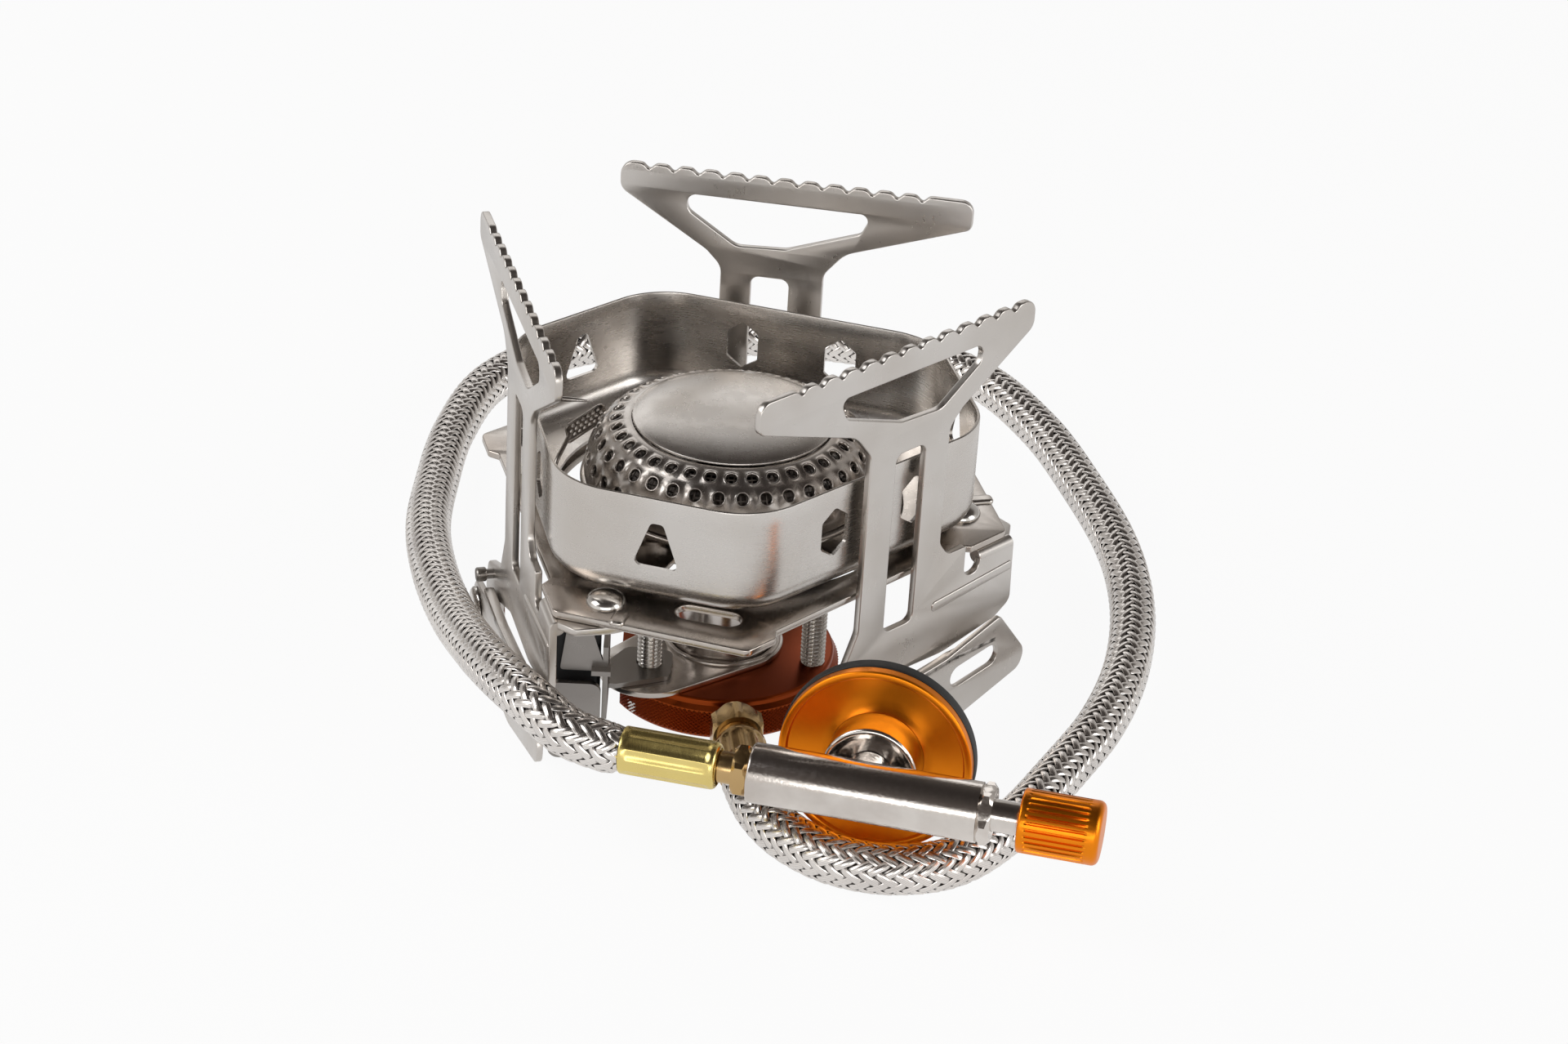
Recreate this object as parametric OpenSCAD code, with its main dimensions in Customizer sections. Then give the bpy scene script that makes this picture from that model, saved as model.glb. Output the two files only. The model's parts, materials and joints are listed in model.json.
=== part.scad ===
// Remote-hose canister stove: wind cup, burner head, three folding legs, igniter, hose and valve.
// The origin is on the stove's axis, on the flat underside of the base disc.

/* [Frame] */
// Height of the top plate's upper face above the ground
plate_z = 31.5; // [30:0.5:40]
// Thickness of the top plate
plate_t = 1.2; // [0.8:0.1:1.6]
// Distance from the axis to the plate's sides between the legs
plate_between = 41; // [39:0.5:43]
// Distance from the axis to the plate's sides under the legs
plate_side = 33.5; // [33:0.1:33.8]
// Radius of the circle that the frame screws stand on
screw_circle = 15.07; // [14:0.01:16]
// Turn of the first screw from its leg's direction
screw_turn = 27.2; // [20:0.1:35]
// Radius of the screw shanks
screw_r = 1.97; // [1.9:0.01:2]

/* [Base] */
// Radius of the knurled base disc
base_r = 18.7; // [17:0.1:20]
// Height of the base disc
base_h = 6.5; // [6.2:0.1:9]
// Direction in which the gas inlet leaves the base disc
inlet_azimuth = -83; // [-90:1:-80]
// Height of the gas inlet's axis
inlet_z = 4.2; // [4.1:0.05:4.2]

/* [Wind cup] */
// Distance from the axis to the cup's walls beside the legs
cup_side = 31.3; // [30:0.1:31.6]
// Distance from the axis to the cup's walls between the legs
cup_between = 36.2; // [35:0.1:37]
// Corner radius of the cup
cup_corner = 12; // [8:0.5:14]
// Height of the cup's floor above the top plate
cup_lift = 1.5; // [1.2:0.1:3]
// Height of the cup's rim above the top plate
cup_rim = 19; // [16:0.5:22]
// Sheet thickness of the cup
cup_t = 0.55; // [0.4:0.05:0.8]
// Radius of the bend between the cup's floor and wall
cup_bend = 4; // [2:0.5:6]

/* [Burner head] */
// Radius of the burner cap
cap_r = 15.5; // [14.5:0.5:16.5]
// Radius of the flame ring's lower edge
skirt_r = 22.6; // [21:0.1:23.5]
// Rise of the flame ring from its lower edge to the cap
ring_rise = 9.4; // [8.5:0.1:10]
// Flame holes in each of the three rows
flame_holes = 36; // [24:1:38]
// Radius of a flame hole
flame_hole_r = 0.85; // [0.6:0.05:0.95]

/* [Legs] */
// Sheet thickness of a leg
leg_t = 1.2; // [1:0.1:1.4]
// Distance from the axis to a leg's outer face when it is folded
leg_face = 34.2; // [34:0.1:35]
// Distance from the axis to a leg's pivot, along the leg's direction
pivot_n = 25.2; // [24:0.1:26]
// Offset of a leg's pivot to the side
pivot_t = 25.9; // [25:0.1:27]
// Spacing of the grip notches on a leg's top edge
notch_pitch = 4; // [3:0.25:5]
// Depth of a grip notch
notch_depth = 0.9; // [0.5:0.1:1.2]
// How far each leg stands open at rest
leg_rest = [-1, 5, 0]; // [-2:0.5:8]
// Sheet thickness of a foot
foot_t = 1; // [0.8:0.1:1.2]

/* [Hose] */
// Outer radius of the braided hose
hose_r = 3.8; // [3:0.1:4]
// Bore radius of the hose's liner
hose_bore_r = 1.5; // [1:0.1:2]

/* [Valve] */
// Centre of the coupling disc, to the right of the stove's axis
valve_x = 22.6; // [22:0.1:23.5]
// Centre of the coupling disc, in front of the stove's axis
valve_y = -49.2; // [-51:0.1:-49]
// Height of the coupling disc's centre
valve_z = 18.3; // [17.8:0.1:19]
// Turn of the valve about the vertical
valve_turn = -13.4; // [-15:0.1:-12]
// Roll of the valve about its own length
valve_roll = -5; // [-7:0.5:0]
// Distance from the coupling disc to the valve body's axis
valve_gap = 10.2; // [9.5:0.1:12]
// Radius of the valve body
body_r = 4.4; // [4:0.1:5]
// Radius of the coupling disc
coupling_r = 14.35; // [14:0.05:15]
// Radius of the control knob
knob_r = 4.65; // [4.4:0.05:5.2]
// Length of the control knob
knob_l = 11.7; // [11:0.1:13]
// Bore radius of the canister thread
thread_r = 5.2; // [5.1:0.05:5.3]

/* [Igniter] */
// Where the electrode stands, to the left of the axis
electrode_x = -31.8; // [-32:0.1:-31.6]
// Where the electrode stands, behind the axis
electrode_y = 8.1; // [7.8:0.1:8.4]
// Height of the electrode's horizontal end
electrode_z = 44.3; // [43.5:0.1:45.5]
// Radius of the electrode wire
electrode_r = 0.4; // [0.3:0.05:0.45]

/* [Hidden] */
LEGS = [-45, 75, 195];
$fn = 64;
gap = 0.05;
steel = "silver";
dark_steel = "gray";
orange = "darkorange";
brass = "goldenrod";
cup_turn = -2;
cup_z = plate_z + cup_lift;
cup_top = plate_z + cup_rim;
cup_opening = 27;
window_in = 19.5;
window_out = 27;
flange_z = plate_z - plate_t - 0.1 - leg_t;
tube_r = 7;
burner_z = plate_z + 4;
foot_face = leg_face + 1;
foot_pivot = [-16, -24.6];
leg_rivet_r = 1.5;
body_left = -16.1;
body_right = 17.3;
knob_from = 23.2;
spindle_r = 2.35;
spindle_tip_r = 1.8;
valve_at = [valve_x, valve_y, valve_z];
electrode_at = [electrode_x, electrode_y, 0];
insulator_r = 1.2;
insulator_hole_r = 1.4;
thread_from = -2.5;
seal_seat_from = -3.6;

// Corner arcs between straight edges: each point is [x, y, fillet radius].
function unit(v) = v / norm(v);
function fillet(a, b, c, r) =
    let (u = unit([a[0] - b[0], a[1] - b[1]]), w = unit([c[0] - b[0], c[1] - b[1]]),
         half = acos(max(-1, min(1, u * w))) / 2, d = r / tan(half),
         m = unit(u + w), centre = [b[0], b[1]] + m * (r / sin(half)),
         p = [b[0], b[1]] + u * d - centre, q = [b[0], b[1]] + w * d - centre,
         a0 = atan2(p[1], p[0]), turn = atan2(q[1], q[0]) - a0,
         sweep = turn > 180 ? turn - 360 : turn < -180 ? turn + 360 : turn,
         steps = max(2, ceil(abs(sweep) / 12)))
    [for (i = [0:steps]) centre + r * [cos(a0 + sweep * i / steps), sin(a0 + sweep * i / steps)]];
function rounded(p) =
    let (n = len(p))
    [for (i = [0:n - 1]) each (p[i][2] == 0 ? [[p[i][0], p[i][1]]]
        : fillet(p[(i + n - 1) % n], p[i], p[(i + 1) % n], p[i][2]))];

// A smooth curve through points, and a round bar or tube that follows it.
function spline_at(a, b, c, d, s) =
    0.5 * (2 * b + (c - a) * s + (2 * a - 5 * b + 4 * c - d) * s * s
        + (3 * b - a - 3 * c + d) * s * s * s);
function spline(p, steps) =
    let (n = len(p))
    [for (i = [0:n - 2], j = [0:steps - 1])
        spline_at(p[max(i - 1, 0)], p[i], p[i + 1], p[min(i + 2, n - 1)], j / steps), p[n - 1]];
function ring_at(path, i, r, sides) =
    let (n = len(path), t = unit(path[min(i + 1, n - 1)] - path[max(i - 1, 0)]),
         level = abs(t[2]) > 0.9 ? [1, 0, 0] : [0, 0, 1],
         s = unit(cross(level, t)), u = cross(t, s))
    [for (k = [0:sides - 1]) path[i] + r * (cos(360 * k / sides) * s + sin(360 * k / sides) * u)];
function skin(rows, sides, flip) =
    [for (i = [0:rows - 2], k = [0:sides - 1])
        let (a = i * sides + k, b = i * sides + (k + 1) % sides, c = b + sides, d = a + sides)
        each (flip ? [[a, b, c], [a, c, d]] : [[a, c, b], [a, d, c]])];
module bar(path, r, sides) {
    rows = len(path);
    points = [for (i = [0:rows - 1]) each ring_at(path, i, r, sides)];
    last = (rows - 1) * sides;
    polyhedron(points, concat(skin(rows, sides, false),
        [[for (k = [0:sides - 1]) k]], [[for (k = [sides - 1:-1:0]) last + k]]));
}
module pipe(path, r, bore, sides) {
    rows = len(path);
    outer = [for (i = [0:rows - 1]) each ring_at(path, i, r, sides)];
    inner = [for (i = [0:rows - 1]) each ring_at(path, i, bore, sides)];
    m = rows * sides;
    last = m - sides;
    inside = [for (f = skin(rows, sides, true)) [f[0] + m, f[1] + m, f[2] + m]];
    ends = [for (k = [0:sides - 1])
        let (j = (k + 1) % sides)
        each [[k, j, m + j], [k, m + j, m + k],
              [last + k, m + last + j, last + j], [last + k, m + last + k, m + last + j]]];
    polyhedron(concat(outer, inner), concat(skin(rows, sides, false), inside, ends));
}

// Placing: a leg's frame has x outward, y to the side, z from the top plate's upper face.
module at_leg(k) {
    translate([0, 0, plate_z]) rotate([0, 0, LEGS[k]])
        translate([pivot_n, pivot_t, 0]) rotate([0, 0, leg_rest[k]])
            translate([-pivot_n, -pivot_t, 0]) children();
}
module upright(n0, thickness) {
    translate([n0, 0, 0]) rotate([90, 0, 90]) linear_extrude(thickness) children();
}
module at_screws() {
    for (a = LEGS) rotate([0, 0, a + screw_turn]) translate([screw_circle, 0, 0]) children();
}
module at_valve() {
    translate(valve_at) rotate([0, 0, valve_turn]) translate([0, -valve_gap, 0]) rotate([valve_roll, 0, 0])
        translate([0, valve_gap, 0]) children();
}
module along_body(x) {
    translate([x, -valve_gap, 0]) rotate([0, 90, 0]) children();
}
module along_inlet(d) {
    rotate([0, 0, inlet_azimuth]) translate([d, 0, inlet_z]) rotate([0, 90, 0]) children();
}
module to_canister(y) {
    translate([0, y, 0]) rotate([-90, 0, 0]) children();
}
module slot(length, width, angle) {
    rotate(angle) {
        square([length - width, width], center = true);
        for (s = [-1, 1]) translate([s * (length - width) / 2, 0]) circle(d = width, $fn = 32);
    }
}

// The cup's corner arcs keep their centres when its outline moves inward.
cup_normals = [for (k = [0:5]) LEGS[0] + 60 * k + cup_turn];
function cup_apothem(k) = (k % 2 == 0 ? cup_side : cup_between) - cup_corner;
function cup_centre(k) =
    let (a = cup_normals[k % 6], b = a + 60, ha = cup_apothem(k), hb = cup_apothem(k + 1))
    [ha * sin(b) - hb * sin(a), hb * cos(a) - ha * cos(b)] / sin(60);
function cup_outline(inset) =
    [for (k = [0:5], s = [0:6]) let (a = cup_normals[k] + 10 * s)
        cup_centre(k) + (cup_corner - inset) * [cos(a), sin(a)]];
function cup_row(inset, z) = [for (p = cup_outline(inset)) [p[0], p[1], z]];
module wind_cup() {
    inner_bend = cup_bend - cup_t;
    outside = concat([for (a = [0:18:90]) [cup_bend * (1 - sin(a)), cup_z + cup_bend * (1 - cos(a))]],
        [[0, cup_top]]);
    inside = concat([[cup_t, cup_top]],
        [for (a = [90:-18:0])
            [cup_t + inner_bend * (1 - sin(a)), cup_z + cup_t + inner_bend * (1 - cos(a))]]);
    sections = concat(outside, inside);
    sides = len(cup_outline(0));
    rows = len(sections);
    points = [for (s = sections) each cup_row(s[0], s[1])];
    last = (rows - 1) * sides;
    join = [for (k = [0:sides - 1]) let (j = (k + 1) % sides)
        each [[last + k, j, last + j], [last + k, k, j]]];
    color(steel) difference() {
        union() {
            polyhedron(points, concat(skin(rows, sides, false), join));
            translate([0, 0, cup_z]) linear_extrude(cup_t) difference() {
                polygon(cup_outline(cup_bend - 0.2));
                circle(cup_opening, $fn = 96);
            }
        }
        for (k = [1, 3, 5]) rotate([0, 0, cup_normals[k]])
            translate([0, 0, plate_z]) upright(cup_between - 3, 6)
                polygon(rounded([[-3.6, 7.7, 0.8], [3.6, 7.7, 0.8], [0.9, 15, 0.8], [-0.9, 15, 0.8]]));
        for (k = [0, 2, 4], s = [-8.2, 8.2]) rotate([0, 0, cup_normals[k]])
            translate([0, s, plate_z]) upright(cup_side - 3, 6)
                polygon([[0, 7.8], [2.5, 9.6], [2.5, 13.9], [0, 15.7], [-2.5, 13.9], [-2.5, 9.6]]);
        translate(electrode_at + [0, 0, cup_z - 1]) cylinder(r = insulator_hole_r, h = cup_bend, $fn = 32);
    }
}
ring_top_z = burner_z + 1.3 + ring_rise;
module burner_cap() {
    edge_z = ring_top_z + 0.05;
    color(steel) rotate_extrude($fn = 96) polygon([
        [0, edge_z + 0.2], [cap_r - 1, edge_z], [cap_r - 0.2, edge_z], [cap_r, edge_z + 0.2],
        [cap_r - 0.3, edge_z + 0.5], [cap_r - 2, edge_z + 0.9], [cap_r * 0.6, edge_z + 1.5],
        [cap_r * 0.3, edge_z + 1.8], [0, edge_z + 1.9]]);
}
function skirt_point(s) = [cap_r + 0.1 + (skirt_r - cap_r - 0.1) * sin(90 * s),
    burner_z + 1.3 + ring_rise * cos(90 * s)];
module flame_ring() {
    wall = 0.5;
    steps = 8;
    outer = [for (i = [0:steps]) skirt_point(i / steps)];
    inner = [for (i = [steps:-1:0]) [outer[i][0] - wall, outer[i][1] - (i == steps ? 0 : wall * 0.4)]];
    color(steel) difference() {
        rotate_extrude($fn = 96) polygon(concat(outer, inner));
        for (row = [0:2], k = [0:flame_holes - 1])
            let (p = skirt_point(0.22 + 0.275 * row), lean = [63, 45, 22][row])
            rotate([0, 0, (k + 0.5 * row) * 360 / flame_holes]) translate([p[0], 0, p[1]])
                rotate([0, 90 - lean, 0]) cylinder(r = flame_hole_r, h = 3, center = true, $fn = 16);
    }
}
module flame_gauze() {
    color(dark_steel) rotate_extrude() polygon([
        [cap_r - 2, ring_top_z - 1.4], [skirt_r - 2, burner_z + 3], [skirt_r - 2, burner_z + 1.4],
        [skirt_r - 2.4, burner_z + 1.4], [skirt_r - 2.4, burner_z + 2.9], [cap_r - 2.4, ring_top_z - 1.4]]);
}
module burner_base() {
    color(brass) difference() {
        union() {
            translate([0, 0, burner_z]) cylinder(r = skirt_r + 0.5, h = 1.2, $fn = 96);
            translate([0, 0, burner_z - 2.5]) cylinder(r = 9.5, h = 3);
            at_screws() translate([0, 0, burner_z - 1]) cylinder(r = 3.2, h = 1.5, $fn = 32);
        }
        translate([0, 0, burner_z - 3]) cylinder(r = tube_r + 0.02, h = 5);
        at_screws() translate([0, 0, burner_z - 2]) cylinder(r = screw_r + 0.02, h = 4, $fn = 32);
    }
}

// The spark shield is a perforated leaf on a bent wire that stands on the cup's floor.
shield_at = [-22.9, 10.1, burner_z + 3.8];
module spark_shield() {
    long = 8;
    high = 3;
    sheet = 0.45;
    foot_z = cup_z + cup_t + 0.4;
    wire = spline([[-25.2, 7.6, foot_z + 4.35], [-26, 5, foot_z + 3.45], [-26.9, 2.6, foot_z + 2.25],
        [-27.6, 0.9, foot_z]], 4);
    color(dark_steel) {
        translate(shield_at) rotate([0, -15, 42]) {
            rotate([90, 0, 0]) linear_extrude(sheet, center = true) difference() {
                square([long, high], center = true);
                for (i = [-3:3], j = [-1, 0, 1]) translate([i * 1.05, j * 0.9]) circle(0.3, $fn = 16);
            }
            translate([-long / 2, 0, -high / 2]) rotate([0, 90, 0]) cylinder(r = 0.4, h = long, $fn = 24);
        }
        bar(wire, 0.35, 12);
    }
}
module mixing_tube() {
    color(steel) difference() {
        union() {
            translate([0, 0, base_h]) cylinder(r = tube_r, h = burner_z + 1.2 - base_h);
            translate([0, 0, base_h]) cylinder(r = tube_r + 1.2, h = 3.6);
        }
        translate([0, 0, base_h - 1]) cylinder(r = tube_r - 0.8, h = 60);
        for (a = [15:90:285]) rotate([0, 0, a]) translate([0, 0, 20.5]) rotate([0, 90, 0])
            cylinder(r = 2.2, h = 12, $fn = 32);
    }
}

// One third of the top plate's outline, in a leg's frame.
function plate_third() = [[plate_side, -28.7, 1.5], [plate_side, -23, 0.8], [plate_side - 1.5, -21.5, 0.8],
    [plate_side - 1.5, 18, 0.8], [plate_side, 19.3, 0.5], [plate_side, 27.3, 1.5]];
function turned(p, a) = [p[0] * cos(a) - p[1] * sin(a), p[0] * sin(a) + p[1] * cos(a), p[2]];
module plate_window() {
    reach = 60;
    spread = 36;
    intersection() {
        difference() {
            circle(window_out, $fn = 96);
            circle(window_in, $fn = 96);
        }
        polygon([[0, 0], reach * [cos(spread), -sin(spread)], [reach, 0],
            reach * [cos(spread), sin(spread)]]);
    }
}
module top_plate() {
    color(steel) translate([0, 0, plate_z - plate_t]) {
        difference() {
            linear_extrude(plate_t) difference() {
                polygon(rounded([for (a = LEGS) each [for (p = plate_third()) turned(p, a)]]));
                for (a = LEGS) rotate(a + 60 + 27) plate_window();
                for (a = LEGS) rotate(a + 60) translate([33.8, 6.5]) slot(10, 4, 90);
            }
            translate([0, 0, -1]) cylinder(r = tube_r + 1.5, h = 4);
            at_screws() translate([0, 0, -1]) cylinder(r = screw_r + 0.1, h = 4, $fn = 32);
            for (a = LEGS) rotate([0, 0, a]) translate([pivot_n, pivot_t, -1])
                cylinder(r = leg_rivet_r, h = 4, $fn = 32);
            translate(electrode_at + [0, 0, -1]) cylinder(r = insulator_hole_r, h = 4, $fn = 32);
        }
        for (a = LEGS) rotate([0, 0, a]) translate([24.4, 31.2, plate_t - 0.1]) rotate([0, 0, 60])
            linear_extrude(0.55) polygon(rounded([[-1.9, -1.1, 0.7], [1.9, -1.1, 0.7], [1.9, 1.1, 0.7],
                [-1.9, 1.1, 0.7]]));
    }
}
module lower_plate() {
    color(steel) translate([0, 0, base_h]) difference() {
        union() {
            linear_extrude(1) hull() {
                circle(tube_r + 2.7, $fn = 48);
                rotate(LEGS[2] + screw_turn) translate([screw_circle, 0]) circle(8, $fn = 48);
            }
            cylinder(r = tube_r + 2.1, h = 1.4);
        }
        translate([0, 0, -1]) cylinder(r = tube_r + 1.25, h = 4);
        rotate([0, 0, LEGS[2] + screw_turn]) translate([screw_circle, 0, -1])
            cylinder(r = 3, h = 4, $fn = 32);
    }
}
module base_disc() {
    rim = 0.3;
    flat_x = -15.6;
    color(orange) difference() {
        rotate_extrude($fn = 96) polygon([[0, 0], [base_r - rim, 0], [base_r, rim],
            [base_r, base_h - 1.6], [base_r - 0.9, base_h - 0.9], [base_r - 0.9, base_h - 0.4],
            [base_r - 1.3, base_h], [0, base_h]]);
        translate([flat_x - 10, -base_r, -1]) cube([10, 2 * base_r, base_h + 2]);
        translate([0, 0, 1.6]) cylinder(r = 2.5, h = 10, $fn = 32);
        along_inlet(0) cylinder(r = 1, h = 30, $fn = 24);
        along_inlet(13) cylinder(r = 2.1, h = 10, $fn = 32);
        at_screws() {
            translate([0, 0, -1]) cylinder(r = screw_r + 0.02, h = 20, $fn = 32);
            translate([0, 0, -1]) cylinder(r = 3.7, h = 3.4, $fn = 32);
        }
    }
}
module gas_jet() {
    color(brass) difference() {
        union() {
            translate([0, 0, 1.6]) cylinder(r = 2.48, h = 6, $fn = 32);
            translate([0, 0, 7.6]) cylinder(r = 3.2, h = 2.4, $fn = 6);
            translate([0, 0, 10]) cylinder(r = 2, h = 2.5, $fn = 32);
        }
        translate([0, 0, 1]) cylinder(r = 1.2, h = 10, $fn = 24);
        translate([0, 0, 10]) cylinder(r = 0.3, h = 4, $fn = 16);
        along_inlet(0) cylinder(r = 0.9, h = 6, $fn = 24);
    }
}
module frame_screws() {
    color(steel) at_screws() difference() {
        union() {
            translate([0, 0, 0.3]) cylinder(r = 3.5, h = 2.1, $fn = 48);
            translate([0, 0, 0.3]) cylinder(r = screw_r, h = burner_z + 1.6, $fn = 32);
        }
        translate([0, 0, -1]) cylinder(r = 1.7, h = 2.4, $fn = 6);
    }
}
module frame_nuts() {
    color(steel) at_screws() translate([0, 0, plate_z]) difference() {
        cylinder(r = 4.04, h = 2.4, $fn = 6);
        translate([0, 0, -1]) cylinder(r = screw_r + 0.02, h = 5, $fn = 32);
    }
}
module leg_rivets() {
    color(steel) for (a = LEGS) rotate([0, 0, a]) translate([pivot_n, pivot_t, plate_z]) {
        rotate_extrude($fn = 48) polygon([[0, 0], [2.9, 0], [2.9, 0.25], [2.5, 0.9], [1.6, 1.35], [0, 1.5]]);
        translate([0, 0, flange_z - plate_z - 1])
            cylinder(r = leg_rivet_r, h = plate_t + leg_t + 1.2, $fn = 32);
        translate([0, 0, flange_z - plate_z - 1.1]) cylinder(r = 2.6, h = 1, $fn = 32);
    }
}

// A leg is one sheet: serrated top edge, window, stem with a slot, a lobe for the foot's pivot
// and a lug bent under the top plate.
function notch_drop(t) =
    let (middle = round((t + 0.2) / notch_pitch) * notch_pitch - 0.2)
    notch_depth * exp(-pow((t - middle) / 0.75, 2));
function grip_edge() = [for (t = [-22:0.5:26]) [t, 39.6 - (t < 26 && t > -22 ? notch_drop(t) : 0)]];
function leg_outline() = concat(
    rounded([[-22, 39.6, 0], [-28.4, 39.6, 2], [-28.4, 34.9, 1.4], [-8.5, 28, 5], [-5.2, 24, 3],
        [-5.2, -6, 3], [-8.5, -13, 2], [-18, -17, 3], [-19.4, -21, 3], [-19.4, -28.2, 3.6],
        [-12.6, -28.2, 3.6], [-10, -20, 3], [0, -16.2, 6], [14, -16.6, 12], [25.5, -14.6, 2],
        [28.9, -12.6, 2], [28.6, -2.5, 0], [20.9, -2.5, 0], [20.9, -4.5, 1.6], [17.5, -4.5, 1.6],
        [17.5, 1, 0.4], [13.4, 1, 2.2], [11.5, 3.5, 2], [11.5, 23.4, 3], [14, 26, 4],
        [28.4, 35, 2.2], [28.4, 39.6, 2.2], [26, 39.6, 0]]),
    [for (i = [len(grip_edge()) - 2:-1:1]) grip_edge()[i]]);
module leg(k) {
    face = leg_face - leg_t;
    color(steel) at_leg(k) difference() {
        union() {
            upright(face, leg_t) polygon(leg_outline());
            translate([face, 28.6, flange_z - plate_z]) rotate([90, 0, 0])
                cylinder(r = leg_t, h = 7.6, $fn = 32);
            translate([0, 0, flange_z - plate_z]) linear_extrude(leg_t)
                polygon(rounded([[face, 28.6, 0], [31, 31.2, 1], [25.2, 31.4, 5], [19.9, 30, 5],
                    [20.2, 20.6, 5], [face, 21, 0]]));
            upright(leg_face - 0.1, 0.32) polygon(rounded([[11, -8.2, 0.7], [11, -6.6, 0.7],
                [28.4, -5.2, 0.5], [28.4, -6.7, 0.5]]));
        }
        upright(face - 1, 4) {
            polygon(rounded([[-12.4, 35.3, 1.2], [-10.8, 31.8, 1.5], [1, 27.6, 3], [9.2, 27.2, 3],
                [17.4, 32.6, 2], [17.4, 35.3, 1.5]]));
            polygon(rounded([[0.3, 22.3, 1.4], [6.5, 22.3, 1.4], [6.5, -8, 1.4], [0.3, -8, 1.4]]));
        }
        translate([pivot_n, pivot_t, -10]) cylinder(r = leg_rivet_r + gap, h = 20, $fn = 32);
        translate([face - 1, foot_pivot[0], foot_pivot[1]]) rotate([0, 90, 0])
            cylinder(r = leg_rivet_r, h = 4, $fn = 32);
        translate([face - 1, -13.6, -17]) rotate([0, 90, 0]) cylinder(r = 0.8, h = 4, $fn = 24);
    }
}
function foot_outline() = rounded([[24.8, -13.2, 1], [31.2, -21.4, 2.6], [30.4, -24.4, 2.4],
    [9, -30.6, 14], [-19.5, -30.6, 4], [-19.5, -20.6, 3.6], [-12.5, -19.4, 3], [0, -18, 10],
    [13, -16.6, 10]]);
module foot(k) {
    color(steel) at_leg(k) difference() {
        union() {
            upright(foot_face, foot_t) polygon(foot_outline());
            upright(leg_face + 0.3, 1.2) intersection() {
                difference() {
                    polygon(foot_outline());
                    translate([0, -0.9]) polygon(foot_outline());
                }
                translate([-11, -26]) square([35, 16]);
            }
        }
        upright(foot_face - 2, 5) {
            translate([19.5, -20.2]) slot(10.5, 3.6, 8);
            translate([-2.5, -24]) slot(10.5, 3.6, 0);
        }
        translate([foot_face - 2, foot_pivot[0], foot_pivot[1]]) rotate([0, 90, 0])
            cylinder(r = leg_rivet_r + gap, h = 5, $fn = 32);
    }
}
module foot_rivet(k) {
    tail = 0.8;
    face = leg_face - leg_t;
    color(steel) at_leg(k) translate([face - tail, foot_pivot[0], foot_pivot[1]]) rotate([0, 90, 0]) {
        cylinder(r = 2.6, h = tail, $fn = 32);
        cylinder(r = leg_rivet_r, h = foot_face + foot_t - face + tail + 0.1, $fn = 32);
        translate([0, 0, leg_t + tail]) cylinder(r = 2.6, h = foot_face - leg_face - gap, $fn = 32);
        translate([0, 0, foot_face + foot_t - face + tail + gap]) cylinder(r = 3.6, h = 0.9, $fn = 48);
    }
}
module stop_pin(k) {
    color(dark_steel) at_leg(k) translate([leg_face - leg_t, -13.6, -17]) rotate([0, 90, 0]) {
        cylinder(r = 0.8, h = leg_t + 2.8, $fn = 24);
        translate([0, 0, leg_t + 1.2]) cylinder(r = 1.15, h = 1.6, $fn = 24);
    }
}

// Gas inlet and hose.
inlet_dir = [cos(inlet_azimuth), sin(inlet_azimuth), 0];
valve_dir = [cos(valve_turn), sin(valve_turn), 0];
valve_back = [-sin(valve_turn), cos(valve_turn), 0];
ferrule_end = -35;
barb_r = hose_bore_r - 0.2;
hose_z = hose_r + 0.05;
function on_valve(x) = valve_at + valve_dir * x - valve_back * valve_gap;
function on_inlet(d) = inlet_dir * d + [0, 0, inlet_z];
hose_at_valve = [for (x = [6, 2, -0.6, -3]) on_valve(ferrule_end + x)];
hose_free = [[-22.3, -48.2, 19.2], [-27.4, -43.3, 20.6], [-32.8, -33.2, 19], [-37.4, -21, 16],
    [-42.2, -5, 12], [-46.5, 13, 9], [-49.3, 32, 6.4], [-49.6, 51, 4.4], [-48.2, 72, hose_z],
    [-43.1, 91.4, hose_z], [-30.5, 106, hose_z], [-14, 113, hose_z], [7, 115.5, hose_z],
    [28, 112.5, hose_z], [45.2, 102.6, hose_z], [55.6, 84, hose_z], [62.1, 62.2, hose_z],
    [66.5, 41.2, hose_z], [67.4, 21.4, hose_z], [64.9, 2.2, hose_z], [59.7, -14.6, hose_z],
    [52.4, -29.3, hose_z], [44, -44.2, hose_z], [35.4, -54.2, hose_z], [26.2, -57.3, hose_z],
    [17.6, -55.6, hose_z], [11, -50.5, hose_z], [6.8, -44, hose_z]];
hose_at_inlet = [for (d = [38, 35.5, 32, 28]) on_inlet(d)];
hose_points = concat(hose_at_valve, hose_free, hose_at_inlet);
hose_path = spline(hose_points, 4);
braid_points = concat([for (x = [-0.25, -1, -3]) on_valve(ferrule_end + x)], hose_free, hose_at_inlet);
module hose_braid() {
    color("gainsboro") pipe(spline(braid_points, 4), hose_r, 2.9, 16);
}
module hose_liner() {
    color("dimgray") pipe(hose_path, 2.85, hose_bore_r, 12);
}
module inlet_nut() {
    color(brass) difference() {
        union() {
            along_inlet(13.2) cylinder(r = 2.08, h = 6, $fn = 32);
            along_inlet(18.8) cylinder(r = 3, h = 2.4, $fn = 32);
            along_inlet(20.6) cylinder(r = 4.5, h = 4.2, $fn = 6);
            along_inlet(24) cylinder(r = barb_r, h = 9, $fn = 24);
            along_inlet(24.8) cylinder(r = 3.2, h = 2.4, $fn = 32);
        }
        along_inlet(12) cylinder(r = 0.8, h = 24, $fn = 24);
    }
}
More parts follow.
